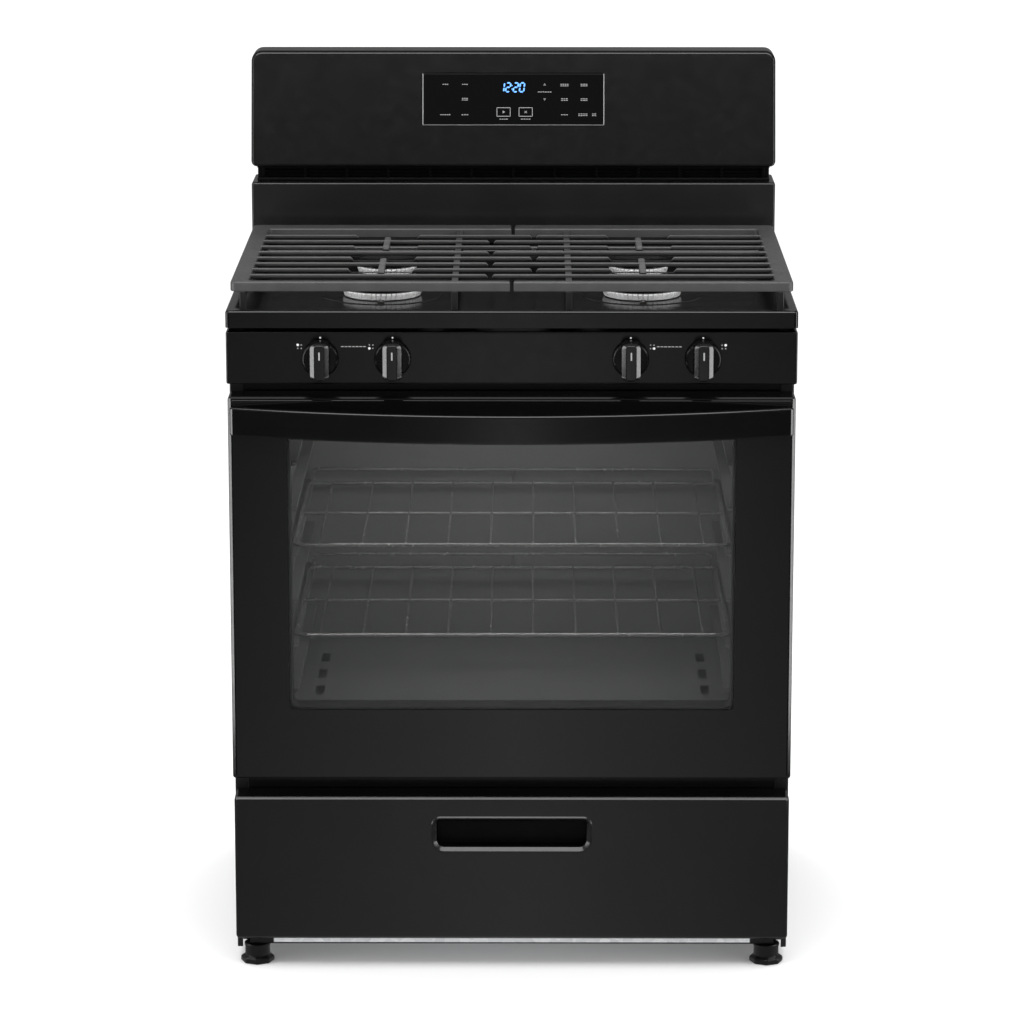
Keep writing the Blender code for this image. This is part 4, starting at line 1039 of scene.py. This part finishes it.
def door_glass():
    """Outer glass: polished edges, printed black but for the smoked window."""
    shape = Shape()
    rear = -0.2925

    def pane(grow, y):
        return front_ring(-0.3725 + grow, 0.3725 - grow, 0.2758 + grow, 0.7952 - grow, y, 0.0012)

    def opening(y):
        return front_ring(-0.2995, 0.2995, 0.3695, 0.7545, y, 0.005)

    rings = [opening(rear), pane(0.0005, rear), pane(0.0, rear - 0.0005), pane(0.0, -0.2957),
             pane(0.0008, DOOR_FRONT), opening(DOOR_FRONT)]
    shape.skin(rings, False, False)
    for ring in (rings[0][::-1], rings[-1]):
        shape.bm.faces.new([shape.bm.verts.new(p) for p in ring]).material_index = 1
    shape.weld().piece(
        "door_outer_glass", "door", [FRIT, WINDOW], ["door_glass_outer"], "black_glass", 25.0)


def door_inside():
    """Enamelled inner door panel with a raised field, the window's tunnel and its screws."""
    face, t, raised = -0.2511, 0.0012, 0.0006
    glass_side = -0.2901

    def tunnel(grow, y):
        return door_ring(0.296 + grow, 0.372 - grow, 0.752 + grow, 0.008 + grow, y)

    rings = [
        tunnel(0.0, glass_side), tunnel(0.0, face - 0.0026), tunnel(0.0008, face - 0.0008),
        tunnel(0.0026, face),
        door_ring(0.3105, 0.352, 0.7725, 0.014, face),
        door_ring(0.3125, 0.350, 0.7745, 0.016, face + raised),
        door_ring(0.3165, 0.346, 0.7785, 0.018, face + raised),
        door_ring(0.3185, 0.344, 0.7805, 0.02, face),
        door_ring(0.3752, 0.2853, 0.7967, 0.003, face, EAR_LIFT),
        door_ring(0.3757, 0.2858, 0.7972, 0.003, face - t * 0.7, EAR_LIFT),
        door_ring(0.3752, 0.2853, 0.7967, 0.003, face - t, EAR_LIFT),
        tunnel(0.0014, face - t - 0.0005), tunnel(0.0014, glass_side), tunnel(0.0, glass_side),
    ]
    # The window's tunnel takes the darker enamel as painted shade.
    shape = Shape().skin(rings, False, False, [1] * 3 + [0] * (len(rings) - 5) + [1]).weld()
    shape.piece("door_inner_sheet", "door", [OVEN, TUNNEL_PAINTED_SHADE], ["door_inner_panel"], "grey_enamel", 40.0)
    pane = Shape().block((-0.2956, -0.262, 0.3724), (0.2956, -0.258, 0.7516), 0.0006)
    pane.piece("door_inner_glass", "door", CLEAR, ["door_window_inner"], "clear_glass")
    side = 0.345
    places = [(x, 0.788) for x in (-side, -0.20, 0.20, side)]
    places += [(x, z) for x in (-side, side) for z in (0.44, 0.60)]
    screws("door_screws", "door", face, 0.0036, places)


def handle():
    """Bowed flat bar across the door, soft-edged, its ends turned in to the door."""
    half, end_y, thick, bow, radius = 0.374, -0.297, 0.013, 0.0575, 0.0034
    low, high, straight, steps = 0.7485, 0.7875, 0.005, 24
    ends = ((0.0, 0.0024), (0.0004, 0.0018), (0.0034, 0.0002), (0.0042, 0.0), (straight, 0.0))
    places = [(inset - half, shrink) for inset, shrink in ends]
    places += [((half - straight) * (i / steps - 1), 0.0) for i in range(1, 2 * steps)]
    places += [(half - inset, shrink) for inset, shrink in reversed(ends)]
    rings = []
    for x, shrink in places:
        middle = end_y - bow * (1 - (x / half) ** 2) - thick / 2
        ring = outline(
            shrink - thick / 2, thick / 2 - shrink, low + shrink, high - shrink,
            max(radius - shrink, 0.0012))
        rings.append([(x, middle + a, z) for a, z in ring])
    Shape().skin(rings).piece(
        "door_pull_bar", "door", BLACK_PANEL, ["door_handle"], "black_enamel", 50.0)


# ---------------------------------------------------------------- oven inside
def rack(which, level):
    """Plated wire shelf: rim, cross wire, ten long wires bent over the front, a raised rear stop."""
    side, front, rear, middle, radius = 0.296, -0.205, 0.195, -0.005, 0.018
    rim = [
        *arc(side - radius, front + radius, radius, -90), *arc(side - radius, rear - radius, radius, 0),
        *arc(radius - side, rear - radius, radius, 90), *arc(radius - side, front + radius, radius, 180),
    ]
    shape = Shape().tube([(x, y, level) for x, y in rim], 0.003, 12, cyclic=True)
    shape.tube([(-side, middle, level - 0.0002), (side, middle, level - 0.0002)], 0.0024)
    wire = ((front - 0.0012, 0.0006), (front + 0.0004, 0.0026), (front + 0.004, 0.0024),
            (rear - 0.004, 0.0024), (rear - 0.0004, 0.0026), (rear + 0.0012, 0.0006))
    for i in range(10):
        shape.tube([(0.058 * i - 0.261, y, level + rise) for y, rise in wire], 0.0018, 8)
    rear += 0.0002
    stop = level + 0.0205
    bend = [(0.29, level), (0.29, stop - 0.006), (0.288, stop - 0.0015), (0.283, stop)]
    path = [(-x, rear, z) for x, z in bend] + [(x, rear, z) for x, z in reversed(bend)]
    shape.tube(path, 0.0024)
    shape.tube([(0.0, rear, level), (0.0, rear, stop)], 0.0018, 8)
    shape.piece("rack_wires_" + which, "rack_" + which, WIRE, ["oven_rack_" + which], "rack_wire", 50.0)


def gasket():
    """Braided tube round the oven mouth."""
    y, pitch = -0.24765, 0.02
    ring = outline(-0.311, 0.311, 0.2915, 0.790, 0.012, steps=8)
    path = []
    for (ax, az), (bx, bz) in zip(ring, ring[1:] + ring[:1]):
        count = max(1, int(math.hypot(bx - ax, bz - az) / pitch))
        path += [(ax + (bx - ax) * i / count, y, az + (bz - az) * i / count) for i in range(count)]
    seal = Shape().tube(path, 0.00225, cyclic=True)
    seal.piece("door_seal", "cabinet", BRAID, ["oven_gasket"], "gasket", 60.0)


# ---------------------------------------------------------------- drawer and feet
def drawer_front():
    """Pressed drawer front with soft edges and a sunk finger pull with raked lower corners."""
    side, low, high, front, back, thick = 0.3765, 0.044, 0.246, -0.292, -0.2485, 0.0014
    pull_x, pull_low, pull_high, pull_back = 0.1015, 0.175, 0.2107, -0.270

    def pull(grow, y):
        x = pull_x + grow
        return front_ring(-x, x, pull_low - grow, pull_high + grow, y, 0.0095 + grow, 0.004 + grow)

    def sheet(t):
        """The sheet's rings at depth t inside it: its sides, then a flat chamfer between soft bends."""
        radius, corner = 0.0045 - t, 0.005 - t

        def ring(y, inset=0.0):
            edge = t + inset
            x = side - edge
            return front_ring(-x, x, low + edge, high - edge, y, max(corner - inset, 0.0006))

        made = [ring(back)]
        for inset, rise in ((0.0, 0.0), (0.12, 0.24), (0.78, 0.9), (1.0, 1.0)):
            made.append(ring(front + t + radius * (1 - rise), radius * inset))
        return made

    outer = sheet(0.0) + [
        pull(0.0078, front), pull(0.0062, front - 0.0014), pull(0.0056, front - 0.0017),
        pull(0.005, front - 0.0015), pull(0.0005, front + 0.0028), pull(0.0, front + 0.0036),
        pull(0.0, pull_back - 0.002), pull(-0.0008, pull_back - 0.0004), pull(-0.0022, pull_back),
    ]
    inner = sheet(thick)
    inner += [pull(0.0078, front + thick), pull(thick, front + thick + 0.004),
              pull(thick, pull_back + thick)]
    rings = inner[::-1] + outer
    # The pull's pocket walls take the darker enamel as painted shade.
    shape = Shape().skin(rings, slots=[0] * (len(rings) - 5) + [1] * 4)
    materials = [BLACK_DRAWER, BLACK_RECESS_PAINTED_SHADE]
    shape.piece("drawer_face", "drawer", materials, ["drawer_front"], "black_enamel", 40.0)


def foot(label, x, y):
    """Levelling foot: threaded stud, round neck and a broad eight-sided pad."""
    corner, segments = math.cos(math.pi / 8), 64

    def flats(index, i):
        """Draws the pad's rings in to eight flats."""
        if index > 5:
            return 0.0
        turn = (2 * math.pi * i / segments) % (math.pi / 4) - math.pi / 8
        return 0.0228 * (corner / math.cos(turn) - 1)

    shape = Shape().lathe(
        [
            (0.0195, 0.0), (0.0225, 0.0008), (0.023, 0.002), (0.023, 0.0058), (0.0222, 0.0074),
            (0.0198, 0.0094), (0.0176, 0.0102), (0.0172, 0.0112), (0.0172, 0.0228),
            (0.018, 0.0236), (0.018, 0.0262), (0.0172, 0.0272), (0.015, 0.0277), (0.0045, 0.0277),
        ],
        (x, y, 0.0), segments, wave=flats)
    stud = [(POINT, 0.027)]
    for i in range(7):
        stud += [(0.0036, 0.0272 + 0.0021 * i), (0.004, 0.0282 + 0.0021 * i)]
    stud += [(0.003, 0.0424), (POINT, 0.0425)]
    shape.lathe(stud, (x, y, 0.0), 16, slot=1)
    body = "leg_" + label
    shape.piece("foot_" + label, body, [FOOT_PLASTIC, STEEL], [body], "black_plastic", 45.0)


# ---------------------------------------------------------------- rear
def vent_slots(sheet, middles, levels, half, height, radius, depths):
    """Rows of round-ended slots cut through a rear sheet."""
    for x in middles:
        for z in levels:
            ring = outline(x - half, x + half, z, z + height, radius, steps=4)
            sheet.carve(Shape().skin([[(a, y, b) for a, b in ring] for y in depths]))


def rear_sheets():
    """Galvanised rear panel and console cover: pressed beads, vent slots and screws."""
    y = 0.3453
    panel = Shape().block((-0.377, y, 0.055), (0.377, y + 0.001, 0.889), 0.0004, 1)
    panel.carve(Shape().lathe([(0.019, 0.33), (0.019, 0.36)], (0.335, 0.0, 0.270), 40, "Y"))
    vent_slots(panel, (-0.15, 0.0, 0.15), (0.800, 0.820, 0.840), 0.045, 0.006, 0.0029, (0.33, 0.36))
    bead = ((0.118, 0.002), (0.121, 0.007), (0.126, 0.009), (0.752, 0.009), (0.757, 0.007),
            (0.760, 0.002))
    for x in (-0.24, 0.0, 0.20):
        stations = [((x, y + 0.0006, z), half, 0.0022 * (half / 0.009)) for z, half in bead]
        panel.bar(stations, RIGHTWARD, BACKWARD)
    panel.piece("rear_sheet", "cabinet", ZINC, ["rear_panel"], "galvanised_steel", 35.0)
    cover = Shape().block((-0.374, SHELL_REAR + 0.0003, 0.918), (0.374, 0.3674, 1.176), 0.0005, 1)
    vent_slots(
        cover, (-0.18, 0.0, 0.18), (1.06, 1.08, 1.10, 1.12), 0.04, 0.005, 0.0024, (0.35, 0.38))
    cover.piece("console_cover", "cabinet", ZINC, ["console_rear_cover"], "galvanised_steel", 35.0)
    places = [(x, z) for x in (-0.368, 0.368) for z in (0.075, 0.28, 0.48, 0.68, 0.87)]
    places += [(x, z) for x in (-0.2, 0.2) for z in (0.068, 0.876)]
    screws("rear_screws", "cabinet", y + 0.001, 0.0042, places)


# ---------------------------------------------------------------- assembly
SIDES = (("left", -1), ("right", 1))
for side, sign in SIDES:
    side_panel(side, sign)
cooktop()
burner_beads()
for label, x, y, crown in BURNERS:
    burner(label, x, y, crown)
for side, sign in SIDES:
    grate(side, sign)
control_panel()
for number, x in enumerate(KNOB_X, 1):
    knob(number, x)
panel_marks()
riser()
vent()
console()
touch_glass()
touch_marks()
touch_digits()
door_skin()
door_glass()
door_inside()
handle()
rack("upper", 0.577)
rack("lower", 0.451)
gasket()
drawer_front()
for side, sign in SIDES:
    foot("front_" + side, sign * 0.350, -0.251)
    foot("rear_" + side, sign * 0.350, 0.300)
rear_sheets()
for material, kept in (
    (BLACK, ["front_frame"]),
    (OVEN, ["oven_cavity", "oven_floor"]),
    (ZINC, ["bake_burner", "broil_burner", "drawer_box", "door_hinge_left", "door_hinge_right"]),
    (RAIL_ZINC_PAINTED_LIGHT, ["base_frame"]),
    (ALUMINIUM, ["gas_manifold", "pressure_regulator"]),
    (STEEL, [f"valve_stem_{number}" for number in range(1, 5)]),
    (BRASS, [f"gas_valve_{number}" for number in range(1, 5)]),
):
    for name in kept:
        nodes[name].material_slots[0].material = material


# ---------------------------------------------------------------- floor, light and camera
FLOOR_GLOW = 0.05
WORLD_EVEN = 1.16
WORLD_GLOSS = 0.2
EDGE_LIGHT = 7.0
EDGE_Y = -0.51
TOP_LIGHT = 5.0
WHITE = (1.0, 1.0, 1.0, 1.0)
CAMERA_DIP = 0.2192
CAMERA_TURN = 0.0042


def sheet_of_floor(name, top, material):
    """A wide slab under the range, carried on the front left foot."""
    shape = Shape().block((-9.0, -9.0, top - 0.02), (9.0, 9.0, top), 0.004)
    mesh = bpy.data.meshes.new(name)
    shape.bm.to_mesh(mesh)
    shape.bm.free()
    made = bpy.data.objects.new(name, mesh)
    bpy.context.scene.collection.objects.link(made)
    mesh.materials.append(material)
    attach(made, "leg_front_left")
    return made


def floor():
    """The pale floor, and the dimmer one that only gloss reflects."""
    pale = Finish(
        "pale_floor", Specular_IOR_Level=0.0, Roughness=1.0, Emission_Color=WHITE,
        Emission_Strength=FLOOR_GLOW)
    pale.colour(pale.noise(1.2, 2.0), (0.3, grey(0.9)), (0.7, grey(0.915)))
    sheet_of_floor("floor", 0.0, pale.material).visible_glossy = False
    dim = Finish("dim_floor", Specular_IOR_Level=0.0, Base_Color=(0.0, 0.0, 0.0, 1.0))
    tone = dim.by_place("X", (0.0, 0.55), (0.175, 0.43), (0.6, 0.175), (1.5, 0.08), (2.5, 0.04))
    dim.links.new(tone, dim.shader.inputs["Emission Color"])
    dim.shader.inputs["Emission Strength"].default_value = 1.0
    card = sheet_of_floor("reflected_floor", -0.0005, dim.material)
    card.visible_camera = card.visible_diffuse = False
    card.visible_shadow = card.visible_transmission = False


def world():
    """Even white light for what is matt, and a dimmer room for what is glossy."""
    made = bpy.data.worlds.new("studio")
    bpy.context.scene.world = made
    made.use_nodes = True
    tree = made.node_tree
    tree.nodes.clear()
    out = tree.nodes.new("ShaderNodeOutputWorld")
    mix = tree.nodes.new("ShaderNodeMixShader")
    path = tree.nodes.new("ShaderNodeLightPath")
    tree.links.new(path.outputs["Is Glossy Ray"], mix.inputs["Fac"])
    for socket, strength in ((1, WORLD_EVEN), (2, WORLD_GLOSS)):
        light = tree.nodes.new("ShaderNodeBackground")
        light.inputs["Color"].default_value = WHITE
        light.inputs["Strength"].default_value = strength
        tree.links.new(light.outputs[0], mix.inputs[socket])
    tree.links.new(mix.outputs[0], out.inputs["Surface"])


def softbox(name, at, target, size, radiance, only_gloss=False):
    """A flat rectangular light. One that only gloss sees draws highlights along edges."""
    light = bpy.data.lights.new(name, "AREA")
    light.shape = "RECTANGLE"
    light.size, light.size_y = size
    light.energy = radiance * math.pi * size[0] * size[1]
    made = bpy.data.objects.new(name, light)
    made.location = at
    made.rotation_euler = (Vector(target) - Vector(at)).to_track_quat("-Z", "Y").to_euler()
    made.visible_camera = False
    made.visible_diffuse = not only_gloss
    made.visible_glossy = only_gloss
    bpy.context.scene.collection.objects.link(made)


floor()
world()
for side in (-1, 1):
    softbox(f"fill_{side}", (2.6 * side, -0.9, 1.1), (0.0, -0.2, 0.6), (0.7, 2.2), 5.0)
    at, target = (1.6 * side, EDGE_Y, 1.0), (0.0, EDGE_Y, 1.0)
    softbox(f"edge_{side}", at, target, (0.32, 2.0), EDGE_LIGHT, True)
softbox("fill_back", (0.0, 1.6, 2.6), (0.0, 0.0, 0.9), (2.4, 0.5), 6.0)
softbox("fill_front", (0.0, -2.2, 3.0), (0.0, 0.0, 0.7), (2.6, 0.8), 4.6)
softbox("edge_top", (0.0, -1.1, 2.4), (0.0, -1.1, 0.0), (2.4, 1.3), TOP_LIGHT, True)
softbox("oven_fill", (0.0, -0.18, 0.745), (0.0, 0.25, 0.45), (0.4, 0.1), 8.0)
softbox("oven_gloss", (0.0, -0.19, 0.75), (0.0, 0.0, 0.5), (0.5, 0.08), 1.2, True)

scene = bpy.context.scene
scene.view_settings.view_transform = "Standard"
camera = bpy.data.cameras.new("camera")
camera.lens = 149.12
camera.sensor_width = 36.0
camera_object = bpy.data.objects.new("camera", camera)
camera_object.location = (0.0237, -5.8232, 1.8745)
camera_object.rotation_euler = (math.pi / 2 - CAMERA_DIP, 0.0, CAMERA_TURN)
scene.collection.objects.link(camera_object)
scene.camera = camera_object
